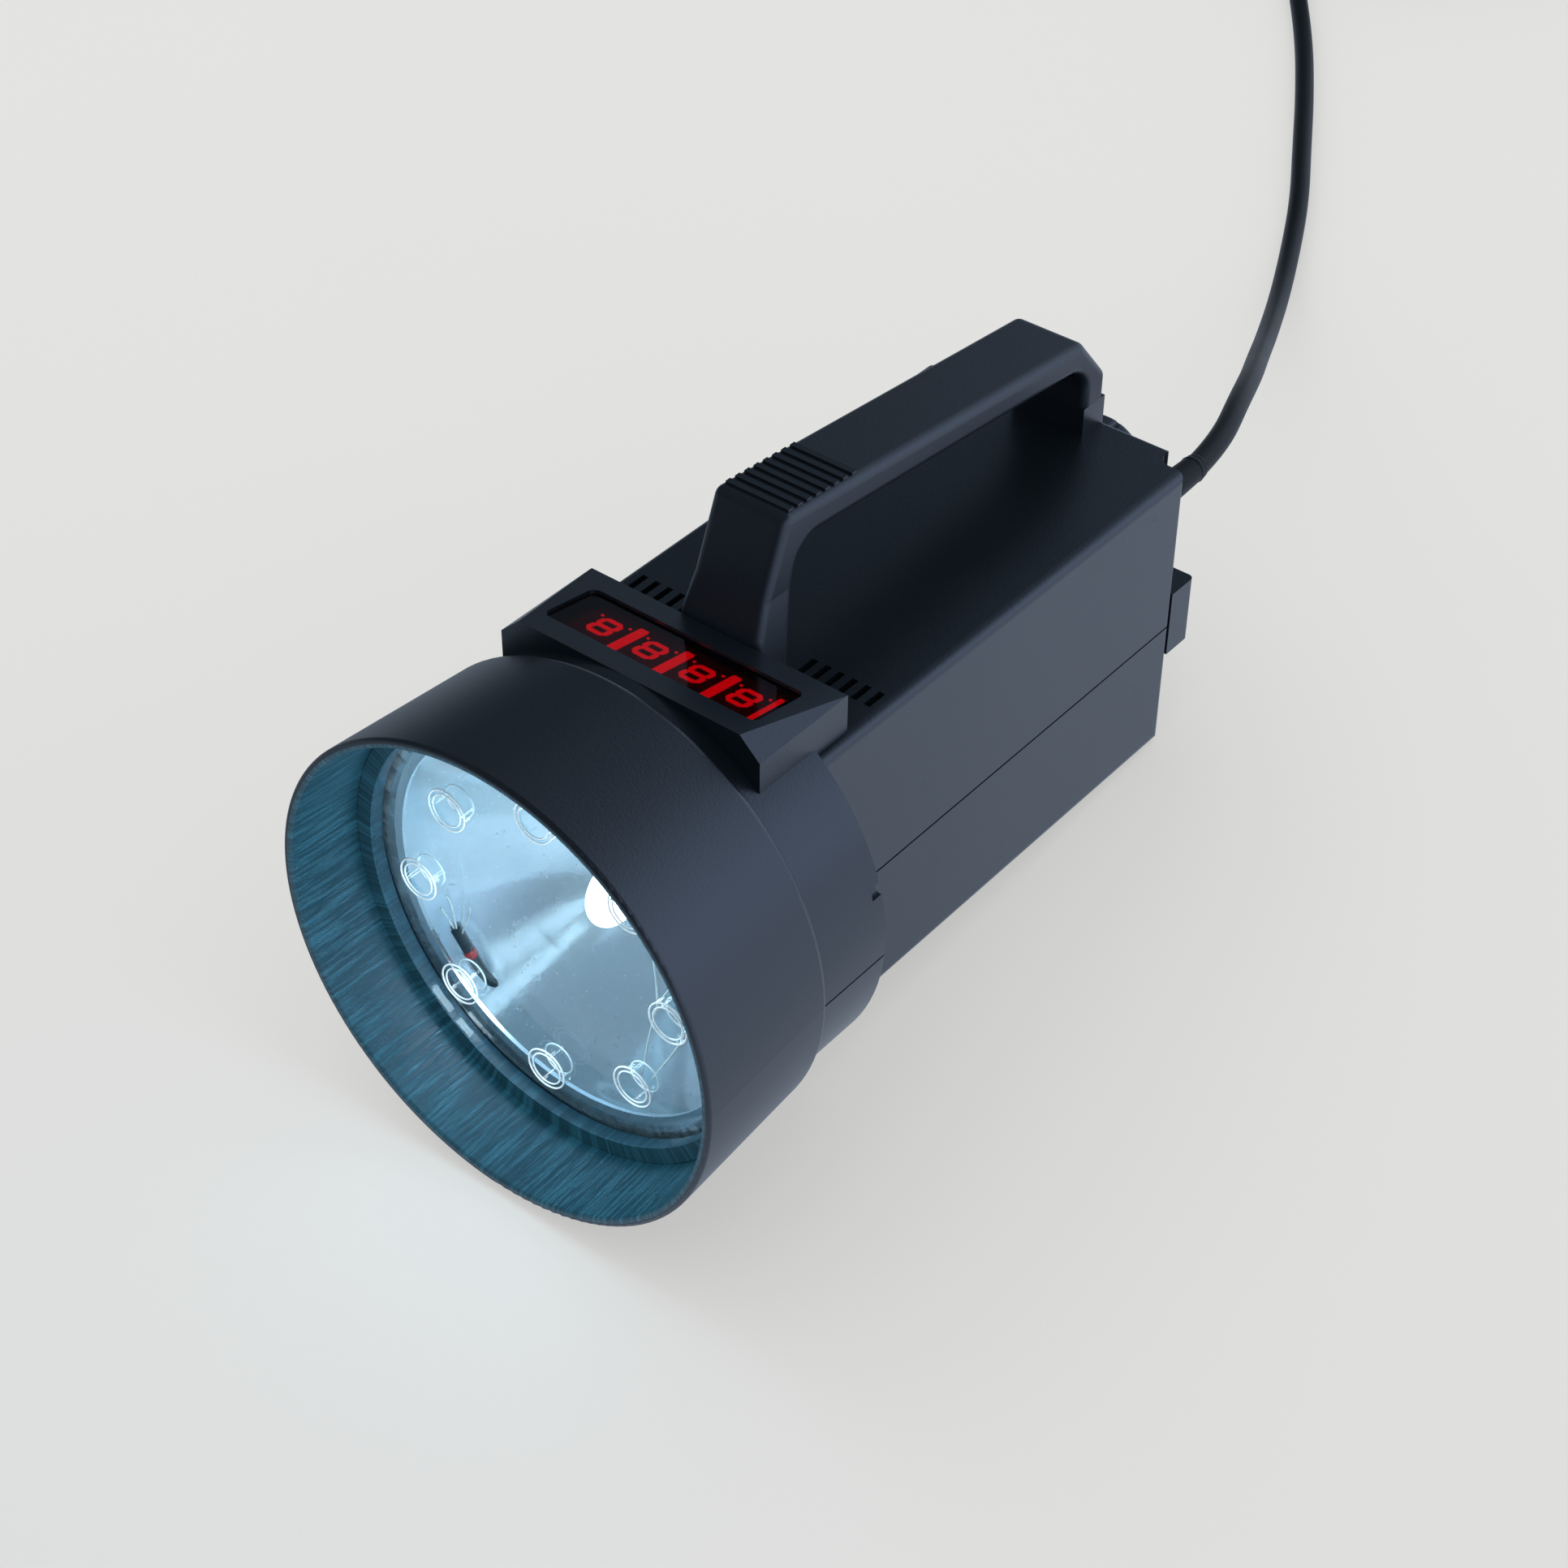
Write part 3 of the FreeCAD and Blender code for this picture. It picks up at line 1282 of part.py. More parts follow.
def make_tie():
    """A band round all the turns, on the side of the coil that faces away from the entry."""
    inner = coil_radius_out - coil_half_turns * coil_pitch / 2 - cord_radius - tie_slack
    outer = coil_radius_out + cord_radius + tie_slack
    low = coil_lift - tie_slack
    high = coil_lift + 2 * cord_radius + (coil_layers - 1) * coil_layer + tie_slack
    side = -tie_width / 2

    def band(grow):
        corners = [Vector(inner - grow, side, low - grow), Vector(outer + grow, side, low - grow),
                   Vector(outer + grow, side, high + grow), Vector(inner - grow, side, high + grow)]
        return prism(corners, [tie_corner + grow] * 4, Vector(0, tie_width, 0))

    ring = band(tie_thick).cut(band(0))
    ring.Placement = Placement(Vector(coil_centre.x, coil_centre.y, 0),
                               Rotation(Vector(0, 0, 1), math.degrees(coil_angle) + tie_place))
    return ring


nodes["cord_tie"] = make_tie()

if __name__ == "__main__":
    os.makedirs("parts", exist_ok=True)
    for name, shape in nodes.items():
        shape.exportStep("parts/" + name + ".step")
    print("lean", round(math.degrees(lean), 3), "degrees; origin shift", base.Base)
    print(len(nodes), "nodes")
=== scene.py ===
import json
import math
import bpy
import numpy as np
from mathutils import Matrix


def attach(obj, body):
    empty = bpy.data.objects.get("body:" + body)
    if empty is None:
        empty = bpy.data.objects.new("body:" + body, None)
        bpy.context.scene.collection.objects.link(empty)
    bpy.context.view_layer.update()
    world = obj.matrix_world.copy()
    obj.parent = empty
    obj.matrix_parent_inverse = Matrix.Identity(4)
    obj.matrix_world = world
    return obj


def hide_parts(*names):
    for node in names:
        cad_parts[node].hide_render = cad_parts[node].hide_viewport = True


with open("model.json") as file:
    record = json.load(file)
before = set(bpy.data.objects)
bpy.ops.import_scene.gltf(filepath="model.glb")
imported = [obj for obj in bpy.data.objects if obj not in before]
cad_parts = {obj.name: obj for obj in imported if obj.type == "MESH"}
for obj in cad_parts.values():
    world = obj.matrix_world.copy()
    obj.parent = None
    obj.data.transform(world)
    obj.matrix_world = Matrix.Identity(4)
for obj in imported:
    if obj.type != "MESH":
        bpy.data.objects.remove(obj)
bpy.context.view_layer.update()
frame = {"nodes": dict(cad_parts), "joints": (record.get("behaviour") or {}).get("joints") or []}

print("lamp frame loaded:", len(frame["nodes"]), "nodes")

# The lamp leans back a little: its own directions and origin come from the coarse dial's joint
dialSeat = {"beam": 206.2, "up": 16.0}  # millimetres from the hood's rim and from the beam's axis
coarseJoint = next(joint for joint in frame["joints"] if joint["name"] == "coarse_turn")
sideWay = np.array([1.0, 0.0, 0.0])
beamWay = np.array(coarseJoint["axis"], float)
upWay = np.array([0.0, -beamWay[2], beamWay[1]])
leanAngle = math.atan2(-beamWay[2], beamWay[1])
rimCentre = (np.array(coarseJoint["pos_m"], float)
             - (beamWay * dialSeat["beam"] + upWay * dialSeat["up"]) / 1000)


def standing(points):
    # rim centre plus x, y and z times the lamp's side, beam and up directions, millimetres to metres
    points = np.asarray(points, float) / 1000
    return rimCentre + points[..., 0:1] * sideWay + points[..., 1:2] * beamWay + points[..., 2:3] * upWay


class Signal:
    # a value on its way through a finish: each operator, and its reflected form, adds one Math node
    def __init__(self, finish, socket):
        self.finish = finish
        self.socket = socket

    def combined(self, operation, first, second):
        return self.finish.node("ShaderNodeMath", {"operation": operation}, {0: first, 1: second})

    def __add__(self, other):
        return self.combined("ADD", self, other)

    def __radd__(self, other):
        return self.combined("ADD", other, self)

    def __sub__(self, other):
        return self.combined("SUBTRACT", self, other)

    def __rsub__(self, other):
        return self.combined("SUBTRACT", other, self)

    def __mul__(self, other):
        return self.combined("MULTIPLY", self, other)

    def __rmul__(self, other):
        return self.combined("MULTIPLY", other, self)

    def __truediv__(self, other):
        return self.combined("DIVIDE", self, other)

    def __rtruediv__(self, other):
        return self.combined("DIVIDE", other, self)

    def __pow__(self, other):
        return self.combined("POWER", self, other)

    def __rpow__(self, other):
        return self.combined("POWER", other, self)

    def __lt__(self, other):
        return self.combined("LESS_THAN", self, other)

    def __gt__(self, other):
        return self.combined("GREATER_THAN", self, other)


class Finish:
    # a new material or sky, built from nodes
    def __init__(self, owner):
        owner.use_nodes = True
        self.owner = owner
        self.tree = owner.node_tree
        self.tree.nodes.clear()
        self.kept = {}

    def node(self, kind, settings=None, inputs=None, output=0):
        # settings come first, and then the values or links of the sockets
        made = self.tree.nodes.new(kind)
        for name, value in (settings or {}).items():
            if name == "stops":
                ramp = made.color_ramp
                for spare in range(len(value) - 2):
                    ramp.elements.new(0.5)
                for element, (place, colour) in zip(ramp.elements, value):
                    element.position = place
                    element.color = colour
            else:
                setattr(made, name, value)
        for key, value in (inputs or {}).items():
            if isinstance(value, Signal):
                self.tree.links.new(value.socket, made.inputs[key])
            else:
                made.inputs[key].default_value = value
        return Signal(self, made.outputs[output]) if made.outputs else None

    def place(self):
        # object coordinates, in metres
        if "place" not in self.kept:
            self.kept["place"] = self.node("ShaderNodeTexCoord", output="Object")
        return self.kept["place"]

    def lampPlace(self):
        # place turned and shifted into the lamp's own directions: x side, y along the beam, z up
        if "lampPlace" not in self.kept:
            back = -np.array([sideWay @ rimCentre, beamWay @ rimCentre, upWay @ rimCentre])
            self.kept["lampPlace"] = self.node("ShaderNodeMapping", {"vector_type": "POINT"}, {
                "Vector": self.place(), "Location": tuple(back), "Rotation": (leanAngle, 0.0, 0.0)})
        return self.kept["lampPlace"]

    def parts(self, vector, axes="XYZ"):
        split = self.node("ShaderNodeSeparateXYZ", {}, {0: vector}).socket.node
        return [Signal(self, split.outputs[axis]) for axis in axes]

    def noise(self, scale, detail=2.0, roughness=0.5, vector=None):
        return self.node("ShaderNodeTexNoise", {}, {
            "Vector": vector or self.place(), "Scale": scale, "Detail": detail, "Roughness": roughness})

    def blend(self, share, first, second):
        # of a Mix node's sockets, 6 and 7 take the colours and output 2 gives one
        return self.node("ShaderNodeMix", {"data_type": "RGBA"}, {0: share, 6: first, 7: second}, output=2)

    def between(self, value, low, high, lowResult=0.0, highResult=1.0):
        # smooth step from lowResult at low to highResult at high
        return self.node("ShaderNodeMapRange", {"interpolation_type": "SMOOTHSTEP", "clamp": True},
                         {0: value, 1: low, 2: high, 3: lowResult, 4: highResult})

    def sheen(self, least):
        # Schlick's rule: least + (1 - least) times the fifth power of how much the surface turns away
        turned = self.node("ShaderNodeLayerWeight", {}, {"Blend": 0.5}, output="Facing")
        return least + (1 - least) * turned ** 5.0

    def bump(self, height, distance):
        return self.node("ShaderNodeBump", {}, {"Height": height, "Distance": distance})

    def clear(self, tint):
        return self.node("ShaderNodeBsdfTransparent", {}, {"Color": tint})

    def glow(self, colour):
        return self.node("ShaderNodeEmission", {}, {"Color": colour, "Strength": 1.0})

    def shader(self, inputs):
        return self.node("ShaderNodeBsdfPrincipled", {}, inputs)

    def mixed(self, share, first, second):
        return self.node("ShaderNodeMixShader", {}, {0: share, 1: first, 2: second})

    def done(self, surface, kind="ShaderNodeOutputMaterial"):
        self.node(kind, {}, {0: surface})
        return self.owner


def rgb(red, green, blue):
    return (red, green, blue, 1.0)


def dimmed(colour, share):
    return rgb(*(part * share for part in colour[:3]))


# In the looks below a noise is its scale, detail and roughness, depths are metres, and the limits are where a
# smooth step on that noise starts and ends

# Moulded black plastic: a blue-black body colour, a fine grain, cloudy gloss where hands have been
housingLook = {"colour": rgb(0.0012, 0.0038, 0.0062), "dusty": rgb(0.0042, 0.0072, 0.0112), "gloss": 0.33,
               "cloud": (16.0, 4.0, 0.6), "cloudGloss": 0.10,
               "scuff": (144.0, 5.0, 0.7), "scuffLimits": (0.62, 0.72), "scuffGloss": 0.05,
               "grain": (1500.0, 2.0), "grainDepth": 0.00003,
               "bend": 1.74, "shineTint": rgb(0.74, 0.84, 1.0)}


def mouldedPlastic(name, look):
    finish = Finish(bpy.data.materials.new(name))
    cloud = finish.noise(*look["cloud"])
    grain = finish.noise(*look["grain"])
    scuff = finish.between(finish.noise(*look["scuff"]), *look["scuffLimits"])
    gloss = look["gloss"] + (cloud - 0.5) * look["cloudGloss"] + scuff * look["scuffGloss"]
    return finish.done(finish.shader({
        "Base Color": finish.blend(cloud, look["colour"], look["dusty"]), "Roughness": gloss,
        "IOR": look["bend"], "Specular Tint": look["shineTint"],
        "Normal": finish.bump(grain, look["grainDepth"])}))


# Hood: the same plastic outside; inside, the wall's colour is painted light from the flash, lighter and
# blue-green, and streaks along the beam, real in gloss and bump, are painted lighter still
hoodLook = {"colour": rgb(0.0018, 0.0044, 0.0072), "dusty": rgb(0.0048, 0.0080, 0.0120), "gloss": 0.37,
            "cloud": (14.0, 4.0, 0.6), "cloudGloss": 0.1,
            "insidePaintedFlashLight": rgb(0.007, 0.046, 0.068), "streakPaintedHighlight": rgb(0.024, 0.115, 0.165),
            "middleRadius": 0.0588, "taper": 0.06, "insideDepth": 0.03,  # middle of the wall, and how far in
            "streak": (1.6, 6.0, 0.65), "streakLimits": (0.42, 0.66), "streakAround": 34.0,
            "streakAlong": 40.0, "streakGloss": 0.1, "streakHeight": 2.0,
            "grain": (1500.0, 2.0), "grainDepth": 0.00003,
            "bend": 1.74, "shineTint": rgb(0.74, 0.84, 1.0)}


def hoodPlastic(name, look):
    finish = Finish(bpy.data.materials.new(name))
    x, y, z = finish.parts(finish.lampPlace())
    radius = (x * x + z * z) ** 0.5
    inside = (radius < look["middleRadius"] - y * look["taper"]) * (y < look["insideDepth"])
    around = finish.node("ShaderNodeCombineXYZ", {}, {
        "X": x / radius * look["streakAround"], "Y": y * look["streakAlong"],
        "Z": z / radius * look["streakAround"]})
    streak = finish.between(finish.noise(*look["streak"], around), *look["streakLimits"]) * inside
    cloud = finish.noise(*look["cloud"])
    grain = finish.noise(*look["grain"])
    outer = finish.blend(cloud, look["colour"], look["dusty"])
    # painted light: the inside wall is coloured lighter and blue-green for the flash's light on it, and the
    # streaks are a painted highlight
    inner = finish.blend(streak, look["insidePaintedFlashLight"], look["streakPaintedHighlight"])
    gloss = look["gloss"] + (cloud - 0.5) * look["cloudGloss"] - streak * look["streakGloss"]
    return finish.done(finish.shader({
        "Base Color": finish.blend(inside, outer, inner), "Roughness": gloss,
        "IOR": look["bend"], "Specular Tint": look["shineTint"],
        "Normal": finish.bump(grain + streak * look["streakHeight"], look["grainDepth"])}))


# Window and red filter: a mix of see-through and mirror, so that light passes straight, with smears and dust
clearLook = {"tint": rgb(0.90, 0.97, 0.99), "mirror": rgb(0.93, 0.97, 1.0), "gloss": 0.03, "sheen": 0.045,
             "smear": (70.0, 5.0, 0.7), "smearLimits": (0.55, 0.8), "smearShare": 0.03,
             "smearDepth": 0.00003}
filterLook = {"tint": rgb(0.62, 0.06, 0.12), "mirror": rgb(0.9, 0.86, 0.9), "gloss": 0.05, "sheen": 0.045,
              "smear": (900.0, 3.0, 0.7), "smearLimits": (0.6, 0.8), "smearShare": 0.02,
              "smearDepth": 0.00001}


def seeThrough(name, look):
    finish = Finish(bpy.data.materials.new(name))
    smear = finish.noise(*look["smear"])
    mirror = finish.shader({"Base Color": look["mirror"], "Metallic": 1.0, "Roughness": look["gloss"],
                            "Normal": finish.bump(smear, look["smearDepth"])})
    share = finish.sheen(look["sheen"]) + finish.between(smear, *look["smearLimits"]) * look["smearShare"]
    return finish.done(finish.mixed(share, finish.clear(look["tint"]), mirror))


# Reflector: bright vapour-coated metal with a faint orange peel and tiny specks. Upwards and towards -x the
# share that is milky grows from the first to the second value of "milky"
bowlLook = {"colour": rgb(0.80, 0.89, 0.97), "gloss": 0.07, "peel": (260.0, 3.0, 0.6), "peelDepth": 0.00002,
            "speck": (900.0, 2.0), "speckLimits": (0.66, 0.72), "speckColour": rgb(0.45, 0.55, 0.62),
            "speckShare": 0.5, "speckGloss": 0.2, "haze": (30.0, 3.0), "hazeGloss": 0.10,
            "milky": (0.17, 0.46), "milkyLimits": (-0.006, 0.020), "milkyUp": 0.8, "milkySide": 0.5,
            "milkyWander": 0.03}


def bowlMetal(name, look):
    finish = Finish(bpy.data.materials.new(name))
    peel = finish.noise(*look["peel"])
    speck = finish.between(finish.noise(*look["speck"]), *look["speckLimits"])
    haze = finish.noise(*look["haze"])
    x, z = finish.parts(finish.lampPlace(), "XZ")
    height = z * look["milkyUp"] - x * look["milkySide"] + (haze - 0.5) * look["milkyWander"]
    milky = finish.between(height, *look["milkyLimits"], *look["milky"])
    return finish.done(finish.shader({
        "Base Color": finish.blend(speck * look["speckShare"], look["colour"], look["speckColour"]),
        "Metallic": 1 - milky,
        "Roughness": look["gloss"] + haze * look["hazeGloss"] + speck * look["speckGloss"],
        "Normal": finish.bump(peel, look["peelDepth"])}))


# Glowing parts: the flash tube and the display's segments
glowSurface = {"patch": (400.0, 2.0), "patchShare": 0.3, "patchDim": 0.7}
glowLooks = {"flash": dict(glowSurface, colour=rgb(0.86, 0.95, 1.0), strength=10.0, gloss=0.2),
             "digit": dict(glowSurface, colour=rgb(0.9, 0.05, 0.16), strength=1.1, gloss=0.4)}


def glowing(name, look):
    finish = Finish(bpy.data.materials.new(name))
    patch = finish.noise(*look["patch"]) * look["patchShare"]
    return finish.done(finish.shader({
        "Base Color": look["colour"], "Roughness": look["gloss"], "Emission Strength": look["strength"],
        "Emission Color": finish.blend(patch, look["colour"], dimmed(look["colour"], look["patchDim"]))}))


# Metals, brushed along one direction: brush is how fine the lines are across x, y and z
metalSurface = {"line": (1.0, 3.0, 0.6), "lineGloss": 0.2, "lineDepth": 0.00001,
                "stain": (120.0, 3.0), "stainShare": 0.6, "stainDim": 0.7}
metalLooks = {
    "nickel": dict(metalSurface, colour=rgb(0.72, 0.72, 0.74), gloss=0.22, brush=(60.0, 60.0, 900.0)),
    "brass": dict(metalSurface, colour=rgb(0.70, 0.53, 0.25), gloss=0.30, brush=(900.0, 60.0, 60.0)),
    "zinc": dict(metalSurface, colour=rgb(0.50, 0.51, 0.53), gloss=0.38, brush=(700.0, 700.0, 80.0)),
    "anodised": dict(metalSurface, colour=rgb(0.42, 0.43, 0.45), gloss=0.42, brush=(80.0, 900.0, 80.0)),
    "iron": dict(metalSurface, colour=rgb(0.17, 0.17, 0.18), gloss=0.5, brush=(2200.0, 60.0, 60.0))}


def brushedMetal(name, look):
    finish = Finish(bpy.data.materials.new(name))
    stretched = finish.node("ShaderNodeMapping", {}, {"Vector": finish.place(), "Scale": look["brush"]})
    line = finish.noise(*look["line"], stretched)
    stain = finish.noise(*look["stain"]) * look["stainShare"]
    return finish.done(finish.shader({
        "Base Color": finish.blend(stain, look["colour"], dimmed(look["colour"], look["stainDim"])),
        "Metallic": 1.0, "Roughness": look["gloss"] + (line - 0.5) * look["lineGloss"],
        "Normal": finish.bump(line, look["lineDepth"])}))


# Lead and plug: dark flexible sheath with a soft sheen
rubberSurface = {"cloud": (40.0, 4.0, 0.6), "cloudGloss": 0.12, "grainGloss": 0.05, "grainDepth": 0.00004,
                 "gloss": 0.5}
rubberLooks = {
    "lead": dict(rubberSurface, colour=rgb(0.003, 0.006, 0.009), pale=rgb(0.007, 0.011, 0.015),
                 grain=(1800.0, 2.0), shine=0.2),
    "plug": dict(rubberSurface, colour=rgb(0.010, 0.013, 0.016), pale=rgb(0.018, 0.022, 0.026),
                 grain=(1200.0, 2.0), shine=0.4)}


def flexibleRubber(name, look):
    finish = Finish(bpy.data.materials.new(name))
    cloud = finish.noise(*look["cloud"])
    grain = finish.noise(*look["grain"])
    gloss = look["gloss"] + (cloud - 0.5) * look["cloudGloss"] + (grain - 0.5) * look["grainGloss"]
    return finish.done(finish.shader({
        "Base Color": finish.blend(cloud, look["colour"], look["pale"]), "Roughness": gloss,
        "Specular IOR Level": look["shine"], "Normal": finish.bump(grain, look["grainDepth"])}))


# Boards, sleeves, ceramic and the other parts inside: two colours in patches
insideSurface = {"detail": 3.0, "limits": (0.42, 0.58), "patchGloss": 0.08, "depth": 0.00003}
insideLooks = {
    "board": dict(colour=rgb(0.03, 0.16, 0.07), other=rgb(0.07, 0.26, 0.12), gloss=0.35, scale=260.0),
    "winding": dict(colour=rgb(0.62, 0.44, 0.08), other=rgb(0.40, 0.22, 0.05), gloss=0.4, scale=500.0),
    "sleeve": dict(colour=rgb(0.02, 0.05, 0.22), other=rgb(0.03, 0.08, 0.30), gloss=0.22, scale=120.0),
    "ceramic": dict(colour=rgb(0.74, 0.71, 0.64), other=rgb(0.60, 0.56, 0.49), gloss=0.5, scale=300.0),
    "chip": dict(colour=rgb(0.02, 0.02, 0.02), other=rgb(0.035, 0.035, 0.035), gloss=0.45, scale=800.0),
    "module": dict(colour=rgb(0.05, 0.006, 0.008), other=rgb(0.09, 0.01, 0.012), gloss=0.4, scale=300.0),
    "redBand": dict(colour=rgb(0.45, 0.02, 0.02), other=rgb(0.32, 0.015, 0.015), gloss=0.4, scale=500.0),
    "white": dict(colour=rgb(0.72, 0.73, 0.72), other=rgb(0.58, 0.60, 0.60), gloss=0.55, scale=700.0)}


def insidePart(name, look):
    finish = Finish(bpy.data.materials.new(name))
    patch = finish.between(finish.noise(look["scale"], look["detail"]), *look["limits"])
    return finish.done(finish.shader({
        "Base Color": finish.blend(patch, look["colour"], look["other"]),
        "Roughness": look["gloss"] + patch * look["patchGloss"],
        "Normal": finish.bump(patch, look["depth"])}))


# Boss rims: mostly pale and solid, a little see-through and speckled, a painted highlight for the light that
# the bosses' clear edges catch
rimHighlightLook = {"colour": rgb(0.86, 0.95, 1.0), "gloss": 0.12, "solid": 0.8, "speck": (1200.0, 3.0),
           "speckLimits": (0.3, 0.7), "speckShare": 0.3, "speckDepth": 0.00002}


def paintedEdgeHighlight(name, look):
    finish = Finish(bpy.data.materials.new(name))
    speck = finish.noise(*look["speck"])
    pale = finish.shader({"Base Color": look["colour"], "Roughness": look["gloss"],
                          "Normal": finish.bump(speck, look["speckDepth"])})
    share = look["solid"] + finish.between(speck, *look["speckLimits"]) * look["speckShare"]
    return finish.done(finish.mixed(share, finish.clear(look["colour"]), pale))


finishes = {
    "housing": mouldedPlastic("housingPlastic", housingLook),
    "handle": mouldedPlastic("handlePlastic", dict(housingLook, gloss=0.42)),
    "trim": mouldedPlastic("trimPlastic", dict(housingLook, gloss=0.28, grainDepth=0.00001)),
    "hood": hoodPlastic("hoodPlastic", hoodLook),
    "clear": seeThrough("clearWindow", clearLook),
    "filter": seeThrough("redFilter", filterLook),
    "tubeGlow": glowing("flashGlow", glowLooks["flash"]),
    "digitGlow": glowing("digitGlow", glowLooks["digit"]),
    "bowl": bowlMetal("reflectorCoating", bowlLook),
    # rim: the painted highlight on the window bosses' edges
    "rim": paintedEdgeHighlight("paintedRimHighlight", rimHighlightLook)}
finishes.update({name: brushedMetal(name + "Metal", look) for name, look in metalLooks.items()})
finishes.update({name: flexibleRubber(name + "Rubber", look) for name, look in rubberLooks.items()})
finishes.update({name: insidePart(name + "Part", dict(insideSurface, **look))
                 for name, look in insideLooks.items()})

nodeFinishes = {
    "hood": "hood", "lens_ring": "hood", "front_window": "clear", "reflector": "bowl",
    "flash_tube": "tubeGlow", "tube_caps": "nickel", "lamp_socket": "ceramic", "trigger_wire": "nickel",
    "lamp_board": "board", "upper_shell": "housing", "lower_shell": "housing", "shell_screws": "zinc",
    "stand_insert": "brass", "handle_grip": "handle", "handle_screws": "zinc",
    "display_housing": "housing", "display_filter": "filter", "display_digits": "module",
    "display_board": "board", "rear_panel": "trim", "coarse_control": "anodised",
    "coarse_shaft": "nickel", "coarse_knob": "trim", "fine_control": "anodised", "fine_shaft": "nickel",
    "fine_knob": "trim", "control_nuts": "nickel", "switch_housing": "trim", "switch_rocker": "trim",
    "switch_pin": "zinc", "trigger_socket": "nickel", "socket_nut": "nickel", "main_board": "board",
    "board_screws": "zinc", "transformer_core": "iron", "transformer_winding": "winding",
    "flash_capacitor": "sleeve", "smoothing_capacitors": "sleeve", "trigger_coil": "winding",
    "control_chips": "chip", "heat_sink": "anodised", "cord_gland": "lead", "cord_coil": "lead",
    "cord_lead": "lead", "cord_tail": "lead", "plug_body": "plug", "plug_pins": "nickel",
    "cord_tie": "trim"}
for nodeName, finishName in nodeFinishes.items():
    mesh = frame["nodes"][nodeName].data
    mesh.materials.clear()
    mesh.materials.append(finishes[finishName])
print("finishes made:", len(finishes), "for", len(nodeFinishes), "nodes")


def gridFaces(rows, columns, wrapRows=False, wrapColumns=False):
    # each four-sided face joins a point to its neighbours in the next row and the next column
    index = np.arange(rows * columns).reshape(rows, columns)
    if wrapRows:
        index = np.vstack([index, index[:1]])
    if wrapColumns:
        index = np.hstack([index, index[:, :1]])
    return np.stack([index[:-1, :-1], index[1:, :-1], index[1:, 1:], index[:-1, 1:]], -1).reshape(-1, 4)


def facedOutwards(points, faces):
    # six times the volume is the sum of a . (b x c) over the faces' triangles; below 0 the faces turn round
    fan = np.concatenate([np.stack([faces[:, 0], faces[:, k], faces[:, k + 1]], -1)
                          for k in range(1, faces.shape[1] - 1)])
    a, b, c = (points[fan[:, k]] for k in range(3))
    return faces if np.einsum("ij,ij->", a, np.cross(b, c)) > 0 else faces[:, ::-1]


def addObject(name, data):
    made = bpy.data.objects.new(name, data)
    bpy.context.scene.collection.objects.link(made)
    return made


def addPiece(name, points, faces, finish, body, smooth=True, caps=()):
    mesh = bpy.data.meshes.new(name)
    mesh.from_pydata(points.tolist(), [], [face for group in (faces, *caps) for face in group.tolist()])
    mesh.validate()
    if smooth:
        mesh.shade_smooth()
    else:
        mesh.shade_flat()
    mesh.materials.append(finishes[finish])
    piece = addObject(name, mesh)
    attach(piece, body)
    return piece


def turnedShape(profile, centre, segments):
    # a closed loop of (radius, y) turned about the beam's direction: x = radius cos a, z = radius sin a
    profile = np.asarray(profile, float)
    angle = np.linspace(0, 2 * np.pi, segments, endpoint=False)[:, None]
    points = np.stack([centre[0] + profile[:, 0] * np.cos(angle), profile[:, 1] + 0 * angle,
                       centre[1] + profile[:, 0] * np.sin(angle)], -1).reshape(-1, 3)
    return points, facedOutwards(points, gridFaces(segments, len(profile), True, True))


def extrudedFlats(outlines, thickness):
    # flat outlines of equal corner count, given as (count, corners, 2), raised by thickness: closed prisms
    outlines = np.asarray(outlines, float)
    count, corners = outlines.shape[:2]
    low = np.concatenate([outlines, np.zeros((count, corners, 1))], -1)
    high = np.concatenate([outlines, np.full((count, corners, 1), thickness)], -1)
    points = np.stack([low, high], 1).reshape(-1, 3)
    start = np.arange(count)[:, None] * 2 * corners
    ring = np.arange(corners)
    after = np.roll(ring, -1)
    sides = np.stack([start + ring, start + after, start + after + corners, start + ring + corners], -1)
    tops = start + corners + ring
    bottoms = start + ring[::-1]
    return points, sides.reshape(-1, 4), (tops, bottoms)


def tubeAlong(path, radius, sides, reference):
    # circles of the given radius across the path; their first direction is path direction x reference
    path = np.asarray(path, float)
    along = np.gradient(path, axis=0)
    along /= np.linalg.norm(along, axis=1, keepdims=True)
    across = np.cross(along, reference)
    across /= np.linalg.norm(across, axis=1, keepdims=True)
    rise = np.cross(across, along)
    angle = np.linspace(0, 2 * np.pi, sides, endpoint=False)
    points = (path[:, None] + radius * (np.cos(angle)[None, :, None] * across[:, None]
                                        + np.sin(angle)[None, :, None] * rise[:, None])).reshape(-1, 3)
    return points, gridFaces(len(path), sides, False, True), endCaps(len(path), sides)


def endCaps(rows, columns):
    # one face over the first row of points, and one over the last, turned the other way
    return np.arange(columns)[None, :], np.arange(rows * columns - columns, rows * columns)[None, ::-1]


def smoothPath(corners, count):
    # quadratic Bezier runs between the middles of neighbouring corners, ending on the first and last corner
    corners = np.asarray(corners, float)
    middles = (corners[1:] + corners[:-1]) / 2
    starts = np.vstack([corners[:1], middles[1:]])[:len(corners) - 2]
    ends = np.vstack([middles[1:-1], corners[-1:]])
    bends = corners[1:-1]
    t = np.linspace(0, 1, count, endpoint=False)[None, :, None]
    runs = (1 - t) ** 2 * starts[:, None] + 2 * t * (1 - t) * bends[:, None] + t ** 2 * ends[:, None]
    return np.vstack([runs.reshape(-1, 3), corners[-1:]])


